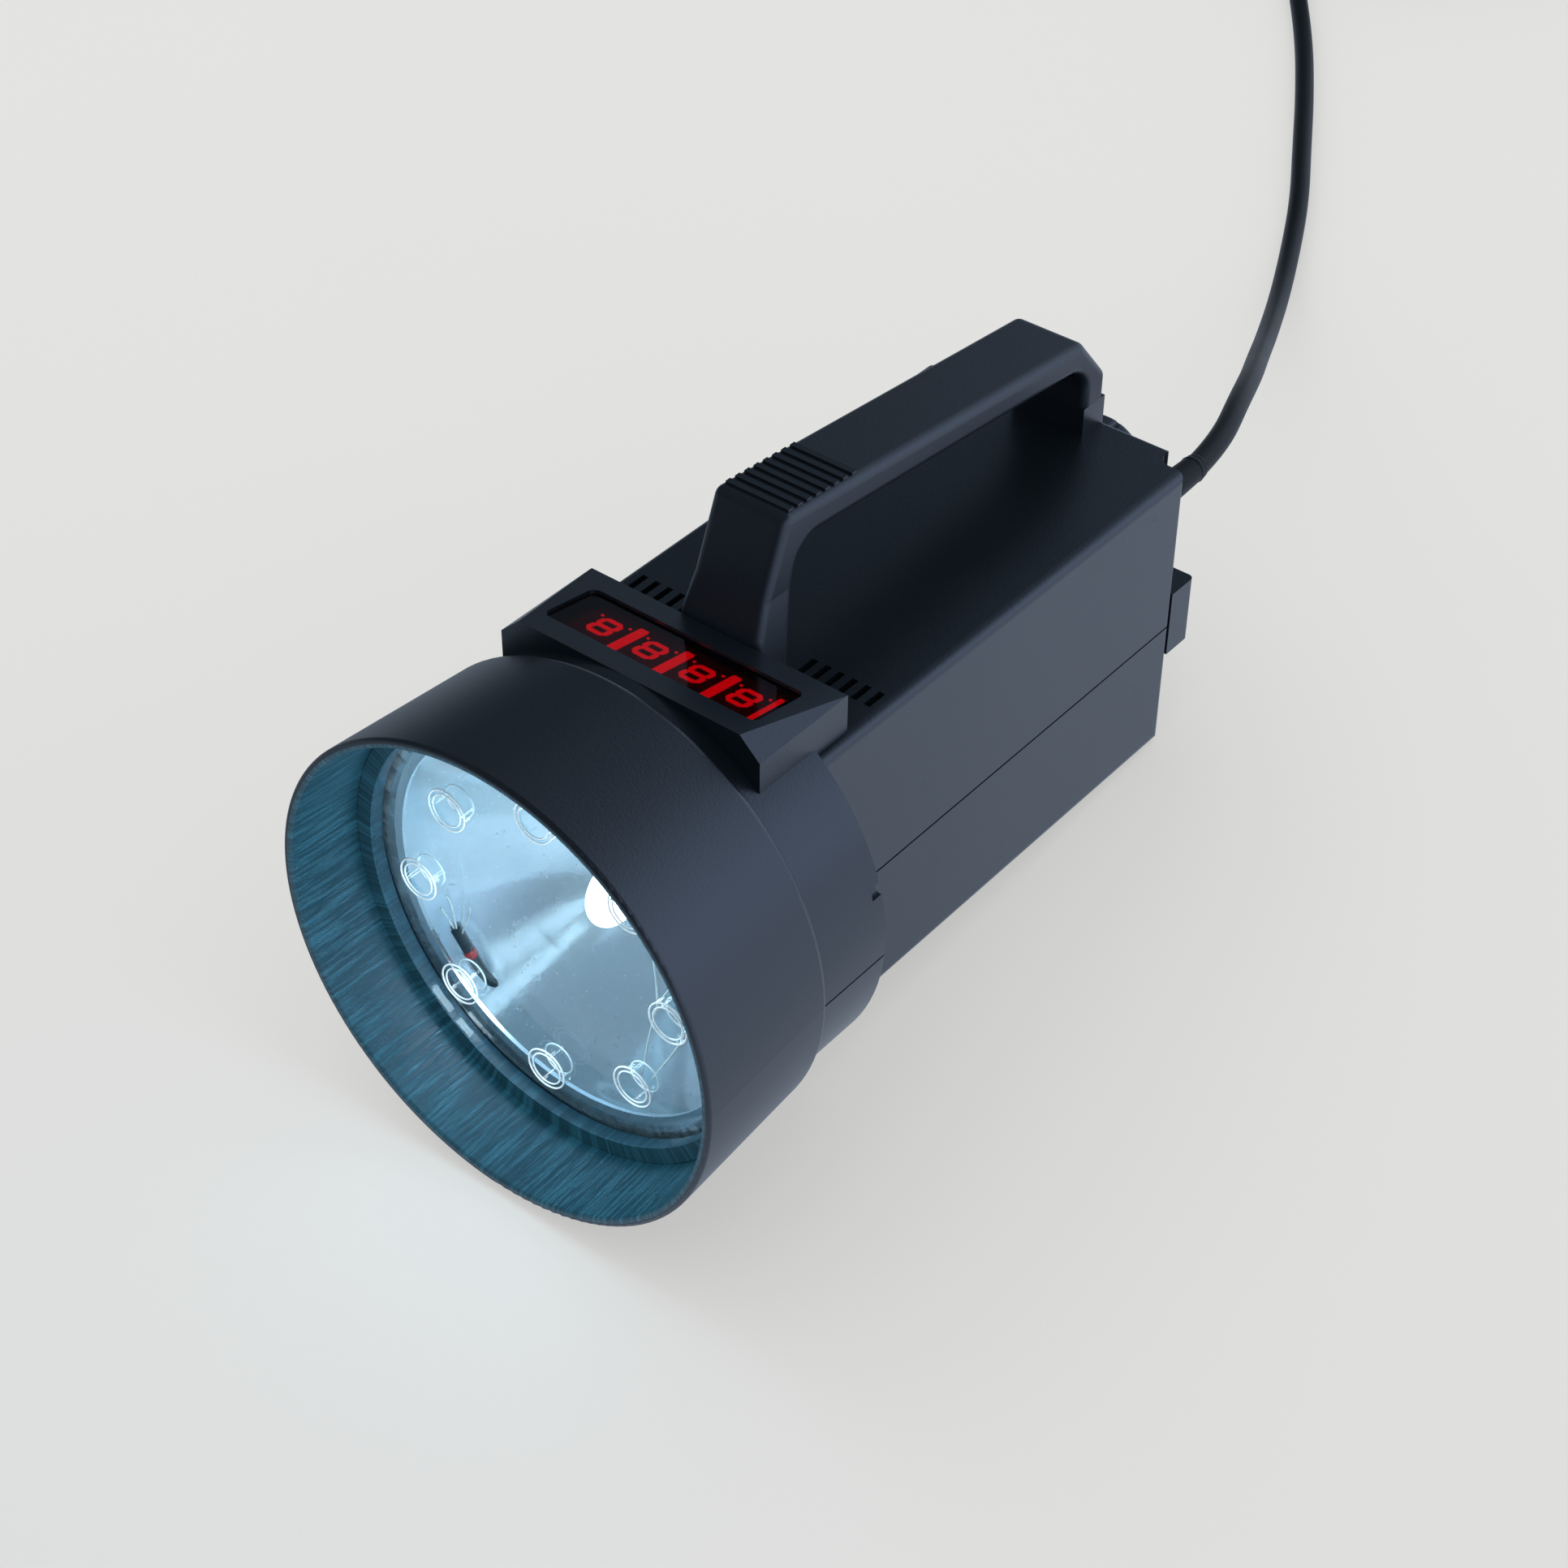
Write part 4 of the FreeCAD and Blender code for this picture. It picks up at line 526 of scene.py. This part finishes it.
def facing(back, right, place):
    # right is made square to back, up is back x right; these three and the place are the matrix's columns
    back = np.asarray(back, float) / np.linalg.norm(back)
    right = np.asarray(right, float) - back * (np.asarray(right, float) @ back)
    right /= np.linalg.norm(right)
    turn = np.eye(4)
    turn[:3] = np.stack([right, np.cross(back, right), back, place], -1)
    return Matrix(turn.tolist())


cameraPlace = {"eye": (0.3456, -0.3963, 0.5556), "right": (0.7804, 0.6223, -0.061),
               "back": (0.4752, -0.5269, 0.7046), "lens": 73.11, "sensor": 36.0}


def addCamera(shape):
    lens = bpy.data.cameras.new("photoCamera")
    lens.lens = shape["lens"]
    lens.sensor_width = shape["sensor"]
    camera = addObject("photoCamera", lens)
    camera.matrix_world = facing(shape["back"], shape["right"], shape["eye"])
    bpy.context.scene.camera = camera


addCamera(cameraPlace)
print("camera placed")

# Mains lead, in metres: its route over the floor, the put-away coil and the tail to the plug. The points are
# the source's, and three near the exit are moved a little to follow the photograph
leadShape = {
    "radius": 0.0029, "length": 1.864, "sideSteps": 4, "steps": 6,
    "exit": (0.0335, 0.10474, 0.07242),
    "route": [(0.0335, 0.10474, 0.07242), (0.032, 0.11715, 0.0708), (0.024, 0.138, 0.066),
              (0.0134, 0.1609, 0.054), (0.0005, 0.1855, 0.039), (-0.014, 0.214, 0.022),
              (-0.031, 0.249, 0.0075), (-0.045, 0.278, 0.0029), (-0.055, 0.298, 0.0029),
              (-0.068, 0.320, 0.0029), (-0.082, 0.344, 0.0029), (-0.099, 0.371, 0.0029),
              (-0.121, 0.401, 0.0029), (-0.1378, 0.4234, 0.0043), (-0.148, 0.437, 0.0043)],
    "tail": [(-0.08696, 0.47028, 0.0238), (-0.06936, 0.46848, 0.0223), (-0.04916, 0.47988, 0.0178),
             (-0.03176, 0.49668, 0.0098), (-0.01596, 0.51228, 0.0068), (-0.00696, 0.52028, 0.0068)],
    "coilCentre": (-0.12396, 0.46228), "firstAngle": -143.13, "halfTurns": 15, "perTurn": 16,
    "outerRadius": 0.0344, "pitch": 0.0073, "layers": 4, "layerRise": 0.0065, "layerHalfTurns": 3,
    "lowest": 0.0043}


def coilCorners(shape):
    # the radius falls by half a pitch in each half turn of a layer and grows back in the next layer; the
    # half turn between two layers climbs by (1 - cos) / 2; a corner lies outside its arc by 1 / cos(pi / n)
    turned = np.arange(0, shape["halfTurns"] + 1e-9, 2 / shape["perTurn"])
    layer = np.minimum(turned // (shape["layerHalfTurns"] + 1), shape["layers"] - 1)
    within = turned - layer * (shape["layerHalfTurns"] + 1)
    travelled = np.minimum(within, shape["layerHalfTurns"]) * shape["pitch"] / 2
    inner = shape["outerRadius"] - shape["layerHalfTurns"] * shape["pitch"] / 2
    radius = np.where(layer % 2 == 0, shape["outerRadius"] - travelled, inner + travelled)
    radius = radius / math.cos(math.pi / shape["perTurn"])
    climb = np.maximum(within - shape["layerHalfTurns"], 0)
    height = shape["lowest"] + (layer + (1 - np.cos(np.pi * climb)) / 2) * shape["layerRise"]
    angle = math.radians(shape["firstAngle"]) - np.pi * turned
    return np.stack([shape["coilCentre"][0] + radius * np.cos(angle),
                     shape["coilCentre"][1] + radius * np.sin(angle), height], -1)


def addLead(shape):
    corners = np.vstack([shape["route"], coilCorners(shape), shape["tail"]])
    curve = bpy.data.curves.new("mainsLead", "CURVE")
    curve.dimensions = "3D"
    curve.bevel_depth = shape["radius"]
    curve.bevel_resolution = shape["sideSteps"]
    curve.use_fill_caps = True
    spline = curve.splines.new("NURBS")
    spline.points.add(len(corners) - 1)
    spline.points.foreach_set("co", np.hstack([corners, np.ones((len(corners), 1))]).ravel())
    spline.order_u = 3
    spline.use_endpoint_u = True
    spline.resolution_u = shape["steps"]
    curve.materials.append(finishes["lead"])
    lead = addObject("mainsLead", curve)
    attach(lead, "lamp")
    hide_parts("cord_lead", "cord_coil", "cord_tail")
    return lead


mainsLead = addLead(leadShape)
print("mains lead laid")

# Display, in millimetres on its slope: u across, v down to the rear
displayShape = {
    "middle": (0.0, 60.5, 52.6), "drop": 5.0, "run": 29.0, "moduleDepth": 2.6, "film": 0.14,
    "digitAt": (-19.2, -6.4, 6.4, 19.1), "digitMiddle": 0.8, "digitHigh": 7.4, "digitWide": 5.9,
    "stroke": 1.35, "strokeLit": 0.9, "slant": 0.075,
    "barAt": (-12.5, 0.1, 13.0, 25.0), "barWide": (2.5, 2.5, 2.4, 1.3), "barLow": -5.6, "barHigh": 6.4,
    "barCorner": (0.8, 0.9),  # where its corners are cut, as shares of its half width and half height
    "dotRadius": 0.38, "dotSides": 12, "dotAt": (-3.6, 4.2), "dotPlace": 4.3}


def onSlope(points, shape):
    # u runs across, v down the slope to the rear, w above the digit modules
    slope = math.atan2(shape["drop"], shape["run"])
    down = np.array([0.0, math.cos(slope), -math.sin(slope)])
    out = np.array([0.0, math.sin(slope), math.cos(slope)])
    points = np.asarray(points, float)
    return standing(np.array(shape["middle"]) + points[:, :1] * [1.0, 0.0, 0.0] + points[:, 1:2] * down
                    + (points[:, 2:3] - shape["moduleDepth"]) * out)


def segmentOutlines(shape):
    # a segment is a bar with pointed ends; seven of them make a digit, leaning by slant times v
    half = shape["stroke"] / 2 * shape["strokeLit"]
    wide = shape["digitWide"] / 2 - shape["stroke"] / 2
    high = shape["digitHigh"] / 4 - shape["stroke"] / 4
    tip = np.array([(-1, 0), (-1, 1), (1, 1), (1, 0), (1, -1), (-1, -1)], float)
    across = np.stack([tip[:, 0] * (wide - half * (tip[:, 1] != 0)), tip[:, 1] * half], -1)
    upright = np.stack([tip[:, 1] * half, tip[:, 0] * (high - half * (tip[:, 1] != 0))], -1)
    places = [(across, 0, 0), (across, 0, 2 * high), (across, 0, -2 * high), (upright, wide, high),
              (upright, wide, -high), (upright, -wide, high), (upright, -wide, -high)]
    digit = np.array([outline + (u, v) for outline, u, v in places])
    digits = digit[None] + np.array([(u, 0.0) for u in shape["digitAt"]])[:, None, None]
    digits[..., 0] += digits[..., 1] * shape["slant"]
    digits[..., 1] += shape["digitMiddle"]
    return digits.reshape(-1, len(tip), 2)


def barOutlines(shape):
    # a rectangle with cut corners, stretched to each bar's half width and half height and moved to its middle
    u, v = shape["barCorner"]
    cut = np.array([(-1, -v), (-u, -1), (u, -1), (1, -v), (1, v), (u, 1), (-u, 1), (-1, v)])
    low, high = shape["barLow"], shape["barHigh"]
    count = len(shape["barAt"])
    size = np.stack([np.array(shape["barWide"]) / 2, np.full(count, (high - low) / 2)], -1)
    centre = np.stack([np.array(shape["barAt"]), np.full(count, (high + low) / 2)], -1)
    return cut[None] * size[:, None] + centre[:, None]


def dotOutlines(shape):
    # two small circles beside each digit
    angle = np.linspace(0, 2 * np.pi, shape["dotSides"], endpoint=False)
    circle = np.stack([np.cos(angle), np.sin(angle)], -1) * shape["dotRadius"]
    spots = np.array([(u + du, shape["dotPlace"]) for u in shape["digitAt"] for du in shape["dotAt"]])
    return circle[None] + spots[:, None]


def addDisplay(shape):
    for name, outlines in (("digitSegments", segmentOutlines(shape)), ("divideBars", barOutlines(shape)),
                           ("decimalDots", dotOutlines(shape))):
        points, sides, caps = extrudedFlats(outlines, shape["film"])
        addPiece(name, onSlope(points, shape), sides, "digitGlow", "lamp", False, caps)


addDisplay(displayShape)
print("display segments set")

# Window bosses, in millimetres: a thin pale ring round each open boss and its bore, a painted highlight where
# the clear edges catch light
bossShape = {"count": 8, "pitchRadius": 35.4, "firstAngle": 90.0, "segments": 44, "edgeSides": 8,
             "edges": {  # radius, y, half thickness
                 "bossFaceHighlight": (5.12, 16.14, 0.22), "bossMouthHighlight": (3.98, 16.14, 0.2),
                 "bossBackHighlight": (3.9, 20.2, 0.2)}}


def addBossRimHighlights(shape):
    # a small loop (radius + half cos, y + half sin) turned about its own axis, then shifted round the circle
    turn = np.arange(shape["edgeSides"]) * 2 * np.pi / shape["edgeSides"]
    angle = np.radians(shape["firstAngle"]) + np.arange(shape["count"]) * 2 * np.pi / shape["count"]
    shift = np.stack([np.cos(angle), 0 * angle, np.sin(angle)], -1) * shape["pitchRadius"]
    for name, (radius, y, half) in shape["edges"].items():
        loop = np.stack([radius + half * np.cos(turn), y + half * np.sin(turn)], -1)
        ring, faces = turnedShape(loop, (0.0, 0.0), shape["segments"])
        points = (ring[None] + shift[:, None]).reshape(-1, 3)
        allFaces = (faces[None] + np.arange(shape["count"])[:, None, None] * len(ring)).reshape(-1, 4)
        addPiece(name, standing(points), allFaces, "rim", "lamp")


addBossRimHighlights(bossShape)

# Fine wires behind the window, the dark sleeve that some of them leave and the sleeve's red band
wireShape = {
    "wire": {"radius": 0.22, "sides": 8, "steps": 8, "finish": "white", "slot": "ceramic_socket"},
    "sleeve": {"radius": 1.25, "sides": 14, "steps": 8, "finish": "plug", "slot": "cord_rubber"},
    "band": {"radius": 1.45, "sides": 14, "steps": 4, "finish": "redBand", "slot": "digit_plastic"},
    "reference": (0.0, 1.0, 0.1),
    "paths": {
        "wireRightOne": ("wire", [(30.5, 24.5, 2.5), (27.0, 23.5, -3.0), (25.0, 22.3, -12.8),
                                  (22.6, 22.0, -27.6)]),
        "wireRightTwo": ("wire", [(34.6, 24.6, -6.0), (33.6, 22.6, -11.1), (30.0, 22.0, -18.5),
                                  (25.4, 22.0, -27.1)]),
        "wireRightThree": ("wire", [(17.0, 33.0, 6.0), (21.5, 27.6, 3.0), (25.8, 24.0, -1.0),
                                    (27.0, 22.6, -6.0)]),
        "wireLeftOne": ("wire", [(-37.5, 26.0, -13.0), (-37.3, 27.0, -15.0), (-36.9, 27.2, -20.0),
                                 (-36.2, 27.6, -25.2)]),
        "wireLeftTwo": ("wire", [(-30.4, 26.0, -12.5), (-31.2, 27.0, -15.1), (-33.6, 27.4, -20.0),
                                 (-35.6, 27.8, -25.4)]),
        "wireLeftThree": ("wire", [(-40.5, 27.0, -19.0), (-39.4, 27.4, -21.0), (-37.6, 27.6, -23.6),
                                   (-35.9, 27.8, -25.8)]),
        "wireSleeve": ("sleeve", [(-36.8, 27.4, -23.4), (-34.6, 27.6, -26.6), (-31.4, 27.8, -31.0),
                                  (-28.0, 28.4, -35.4), (-25.5, 31.5, -38.5)]),
        "sleeveBand": ("band", [(-33.4, 27.65, -28.3), (-32.9, 27.7, -29.0), (-32.3, 27.75, -29.8)])}}


def addWires(shape):
    for name, (kind, corners) in shape["paths"].items():
        tube = shape[kind]
        path = smoothPath(corners, tube["steps"])
        points, faces, caps = tubeAlong(path, tube["radius"], tube["sides"], shape["reference"])
        addPiece(name, standing(points), faces, tube["finish"], "lamp", True, caps)


addWires(wireShape)
print("window rims and wires set")

# Strain relief, in millimetres: a tapered sleeve turned about the lead where it leaves the body, with a lip
reliefShape = {"centre": (33.5, 34.5), "start": 190.0, "root": 200.0, "end": 212.5, "bore": 2.92,
               "neckRadius": 3.12, "rootRadius": 3.6, "tipRadius": 3.16, "rows": 61, "segments": 40,
               "lip": 0.175, "lipPlace": 0.82, "lipHalf": 0.06,  # height, then shares of the length
               "tipRound": 0.16, "tipFrom": 0.94, "leastWall": 0.05}


def addStrainRelief(shape):
    # outer radius falls evenly from root to tip; the lip is a cosine hump at lipPlace; the tip is rounded in
    t = np.linspace(0, 1, shape["rows"])
    away = np.clip((t - shape["lipPlace"]) / shape["lipHalf"], -1, 1)
    rounded = np.clip((t - shape["tipFrom"]) / (1 - shape["tipFrom"]), 0, 1) ** 2
    outer = shape["rootRadius"] + (shape["tipRadius"] - shape["rootRadius"]) * t
    outer = outer + shape["lip"] * (1 + np.cos(np.pi * away)) / 2 - shape["tipRound"] * rounded
    outer = np.maximum(outer, shape["bore"] + shape["leastWall"])
    y = shape["root"] + (shape["end"] - shape["root"]) * t
    profile = np.vstack([[(shape["bore"], shape["start"]), (shape["neckRadius"], shape["start"]),
                          (shape["neckRadius"], shape["root"])],
                         np.stack([outer, y], -1), [(shape["bore"], shape["end"])]])
    points, faces = turnedShape(profile, shape["centre"], shape["segments"])
    relief = addPiece("strainRelief", standing(points), faces, "lead", "lamp")
    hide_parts("cord_gland")


addStrainRelief(reliefShape)

# Plug: a lofted two-pin body with a narrow neck and grip ridges; pins with dark sleeves at their roots.
# Its start is in metres and the rest in millimetres, or in shares of its length or of its section
plugShape = {
    "start": (-0.00696, 0.52028, 0.0068), "turn": 41.63, "length": 32.0, "halfNeck": 7.3, "halfWide": 16.4,
    "halfThick": 6.75, "rows": 61, "around": 48, "squareness": 0.42,
    "swellFrom": 0.08, "swellOver": 0.5, "neckRound": 0.05, "faceRound": 0.03, "endShare": 0.72,
    "ridges": 4, "ridgeDepth": 0.45, "ridgeFrom": 0.16, "ridgeOver": 0.42, "ridgeThick": 0.7,
    "sleeveLength": 9.5, "sleeveInside": 1.0, "sleeveRadius": 2.1, "sleeveSides": 20, "sleeveSteps": 4,
    "pinSpacing": 18.6}


def atPlug(points, shape):
    # turned about z by the plug's angle and moved to where the lead enters it, millimetres to metres
    turn = math.radians(shape["turn"])
    points = np.asarray(points, float) / 1000
    return np.stack([shape["start"][0] + points[:, 0] * math.cos(turn) - points[:, 1] * math.sin(turn),
                     shape["start"][1] + points[:, 0] * math.sin(turn) + points[:, 1] * math.cos(turn),
                     shape["start"][2] + points[:, 2]], -1)


def plugSection(shape):
    # a superellipse section; its half width swells from neck to shoulder by a smooth step, less cosine ridges
    t = np.linspace(0, 1, shape["rows"])[:, None]
    swell = np.clip((t - shape["swellFrom"]) / shape["swellOver"], 0, 1)
    swell = swell * swell * (3 - 2 * swell)
    ends = np.minimum(np.minimum(t / shape["neckRound"], (1 - t) / shape["faceRound"]), 1.0) ** 0.5
    ends = shape["endShare"] + (1 - shape["endShare"]) * ends
    along = (t - shape["ridgeFrom"]) / shape["ridgeOver"]
    ridge = shape["ridgeDepth"] * (1 + np.cos(2 * np.pi * shape["ridges"] * along)) / 2
    ridge = ridge * ((along > 0) & (along < 1))
    wide = (shape["halfNeck"] + (shape["halfWide"] - shape["halfNeck"]) * swell - ridge) * ends
    thick = (shape["halfThick"] - ridge * shape["ridgeThick"]) * ends
    angle = np.linspace(0, 2 * np.pi, shape["around"], endpoint=False)[None, :]
    y = wide * np.sign(np.cos(angle)) * np.abs(np.cos(angle)) ** shape["squareness"]
    z = thick * np.sign(np.sin(angle)) * np.abs(np.sin(angle)) ** shape["squareness"]
    return np.stack([t * shape["length"] + 0 * angle, y, z], -1).reshape(-1, 3)


def addPlug(shape):
    points = plugSection(shape)
    faces = facedOutwards(points, gridFaces(shape["rows"], shape["around"], False, True))
    body = addPiece("plugShell", atPlug(points, shape), faces, "plug", "lamp", True,
                    endCaps(shape["rows"], shape["around"]))
    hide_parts("plug_body")
    sleeves = []
    along = np.linspace(-shape["sleeveInside"], shape["sleeveLength"], shape["sleeveSteps"] + 1)
    for name, side in (("pinSleeveLeft", -1), ("pinSleeveRight", 1)):
        path = [(shape["length"] + x, side * shape["pinSpacing"] / 2, 0.0) for x in along]
        points, faces, caps = tubeAlong(path, shape["sleeveRadius"], shape["sleeveSides"], (0.0, 0.0, 1.0))
        sleeves.append(addPiece(name, atPlug(points, shape), faces, "plug", "lamp", True,
                                caps))
    return sleeves + [body]


pieces = addPlug(plugShape)
print("strain relief and plug made")

# Rear markings, in millimetres: pointer inlays on the knobs and ticks round them
markShape = {
    "panel": 206.2, "film": 0.12, "tickCount": 11, "sweep": 280.0, "tickWide": 0.5,
    "dials": {"coarse": {"centre": (0.0, 16.0), "end": 225.7, "radius": 12.0, "ticks": (13.2, 15.2)},
              "fine": {"centre": (-13.5, -14.0), "end": 223.7, "radius": 8.0, "ticks": (9.2, 10.9)}},
    "inlayWide": 1.1, "inlayDeep": 0.5, "inlayFrom": 0.8, "inlayShort": 1.2, "inlaySunk": 0.08}


def onPanel(points, y):
    # flat u and v become side and up, and height becomes the way out of the panel, from y
    return standing(np.stack([points[:, 0], y + points[:, 2], points[:, 1]], -1))


def addMarkings(shape):
    # a tick is a bar from one radius to the other, turned about the knob by its share of the sweep, which
    # leaves a gap below; a pointer is an upright bar let into the knob's face
    angles = np.radians(90 + np.linspace(-shape["sweep"] / 2, shape["sweep"] / 2, shape["tickCount"]))
    along = np.stack([np.cos(angles), np.sin(angles)], -1)
    across = np.stack([-np.sin(angles), np.cos(angles)], -1) * shape["tickWide"] / 2
    half, deep = shape["inlayWide"] / 2, shape["inlayDeep"]
    for dialName, dial in shape["dials"].items():
        near, far = (along * radius for radius in dial["ticks"])
        bars = np.stack([near - across, far - across, far + across, near + across], 1) + dial["centre"]
        points, sides, caps = extrudedFlats(bars[:, ::-1], shape["film"])
        addPiece(dialName + "Ticks", onPanel(points, shape["panel"]), sides, "white", "lamp",
                 False, caps)
        low, high = shape["inlayFrom"], dial["radius"] - shape["inlayShort"]
        bar = np.array([[(-half, low), (-half, high), (half, high), (half, low)]]) + dial["centre"]
        points, sides, caps = extrudedFlats(bar, deep)
        points = onPanel(points, dial["end"] - deep - shape["inlaySunk"])
        addPiece(dialName + "Pointer", points, sides, "white", dialName + "_dial", False,
                 caps)


addMarkings(markShape)
print("rear markings made")

# Studio, in metres: to the camera a steady share of the floor's light is its own, with painted shade that
# makes it darker and lavender towards the camera, and reflections see a bright and a dark side
studio = {
    "floorSize": 8.0, "floorRows": 9, "floorColour": rgb(0.80, 0.80, 0.79), "floorNoise": (6.0, 3.0),
    "floorDim": 0.97, "floorGloss": 0.75, "floorShine": 0.2,
    "mirroredFloor": rgb(0.74, 0.83, 1.0), "mirroredFar": rgb(0.30, 0.36, 0.43),
    "mirroredLimits": (-0.25, 0.25),
    "steadyNearPaintedShade": rgb(0.64, 0.635, 0.66), "steadyFar": rgb(0.775, 0.78, 0.75), "steadyLimits": (-0.6, 0.1),
    "steadyShare": 0.6, "dome": rgb(0.84, 0.84, 0.85),
    "lamps": {  # place, aim, size, watts, colour
        "overhead": ((-0.5, 0.4, 2.4), (0.0, 0.1, 0.0), 3.0, 7.0, (1.0, 1.0, 0.98)),
        "left": ((-1.8, 0.2, 1.7), (0.0, 0.1, 0.0), 1.8, 5.0, (1.0, 1.0, 0.97))},
    "lampTilt": (0.0, 1.0, 0.3), "flashWatts": 0.065, "flashSize": 0.012, "flashColour": (0.62, 0.88, 1.0),
    "flashAt": (0.0, 4.0, 0.0), "flashAim": (0.0, -0.01, 0.0),  # millimetres from the rim's centre; metres
    "sky": [(0.0, rgb(1.1, 1.25, 1.6)), (0.46, rgb(0.85, 1.0, 1.25)), (0.70, rgb(0.03, 0.05, 0.06)),
            (1.0, rgb(0.003, 0.012, 0.018))],
    "skyLimits": (-0.1, 0.7), "darkSide": rgb(0.05, 0.07, 0.09), "brightWay": (0.80, 0.55)}


def towardsBright(finish, x, y, limits):
    # a smooth step along the direction of the studio's bright side
    return finish.between(x * studio["brightWay"][0] + y * studio["brightWay"][1], *limits)


def addFloor(setting):
    # a flat square, its rows and columns spread evenly
    half, rows = setting["floorSize"] / 2, setting["floorRows"]
    line = np.linspace(-half, half, rows)
    points = np.stack(np.meshgrid(line, line, indexing="ij") + [np.zeros((rows, rows))], -1).reshape(-1, 3)
    mesh = bpy.data.meshes.new("paleFloor")
    mesh.from_pydata(points.tolist(), [], gridFaces(rows, rows).tolist())
    finish = Finish(bpy.data.materials.new("paleFloor"))
    cloud = finish.noise(*setting["floorNoise"])
    other = dimmed(setting["floorColour"], setting["floorDim"])
    plain = finish.shader({"Base Color": finish.blend(cloud, setting["floorColour"], other),
                           "Roughness": setting["floorGloss"], "Specular IOR Level": setting["floorShine"]})
    x, y = finish.parts(finish.place(), "XY")
    toBright = towardsBright(finish, x, y, setting["mirroredLimits"])
    mirrored = finish.glow(finish.blend(toBright, setting["mirroredFar"], setting["mirroredFloor"]))
    # painted shade: the steady glow darkens and turns lavender towards the camera
    toFar = finish.between(y, *setting["steadyLimits"])
    steady = finish.glow(finish.blend(toFar, setting["steadyNearPaintedShade"], setting["steadyFar"]))
    cameraRay = finish.node("ShaderNodeLightPath", output="Is Camera Ray")
    glossyRay = finish.node("ShaderNodeLightPath", output="Is Glossy Ray")
    seen = finish.mixed(cameraRay * setting["steadyShare"], plain, steady)
    mesh.materials.append(finish.done(finish.mixed(glossyRay, seen, mirrored)))
    floor = addObject("paleFloor", mesh)


def addLight(name, kind, place, aim, size, watts, colour):
    lamp = bpy.data.lights.new(name, kind)
    lamp.energy = watts
    lamp.color = colour
    if kind == "AREA":
        lamp.shape = "SQUARE"
        lamp.size = size
    else:
        lamp.shadow_soft_size = size
    lampObject = addObject(name, lamp)
    back = np.array(place, float) - np.array(aim, float)
    lampObject.matrix_world = facing(back, np.cross(studio["lampTilt"], back), place)
    lampObject.visible_camera = False
    lampObject.visible_glossy = False


def addSky(setting):
    # diffuse light comes from an even dome, and reflections see the ramp over height on the bright side
    sky = Finish(bpy.data.worlds.new("studioSky"))
    x, y, z = sky.parts(sky.node("ShaderNodeTexCoord", output="Generated"))
    glossyRay = sky.node("ShaderNodeLightPath", output="Is Glossy Ray")
    ramp = sky.node("ShaderNodeValToRGB", {"stops": setting["sky"]}, {0: z})
    lit = sky.blend(towardsBright(sky, x, y, setting["skyLimits"]), setting["darkSide"], ramp)
    light = sky.node("ShaderNodeBackground", {}, {
        "Color": sky.blend(glossyRay, setting["dome"], lit), "Strength": 1.0})
    bpy.context.scene.world = sky.done(light, "ShaderNodeOutputWorld")


addFloor(studio)
for lampName, (place, aim, size, watts, colour) in studio["lamps"].items():
    addLight(lampName, "AREA", place, aim, size, watts, colour)
flashPlace = standing([studio["flashAt"]])[0]
addLight("flashLight", "POINT", tuple(flashPlace), tuple(flashPlace + studio["flashAim"]),
         studio["flashSize"], studio["flashWatts"], studio["flashColour"])
addSky(studio)
bpy.context.scene.view_settings.view_transform = "Standard"
print("studio lit")
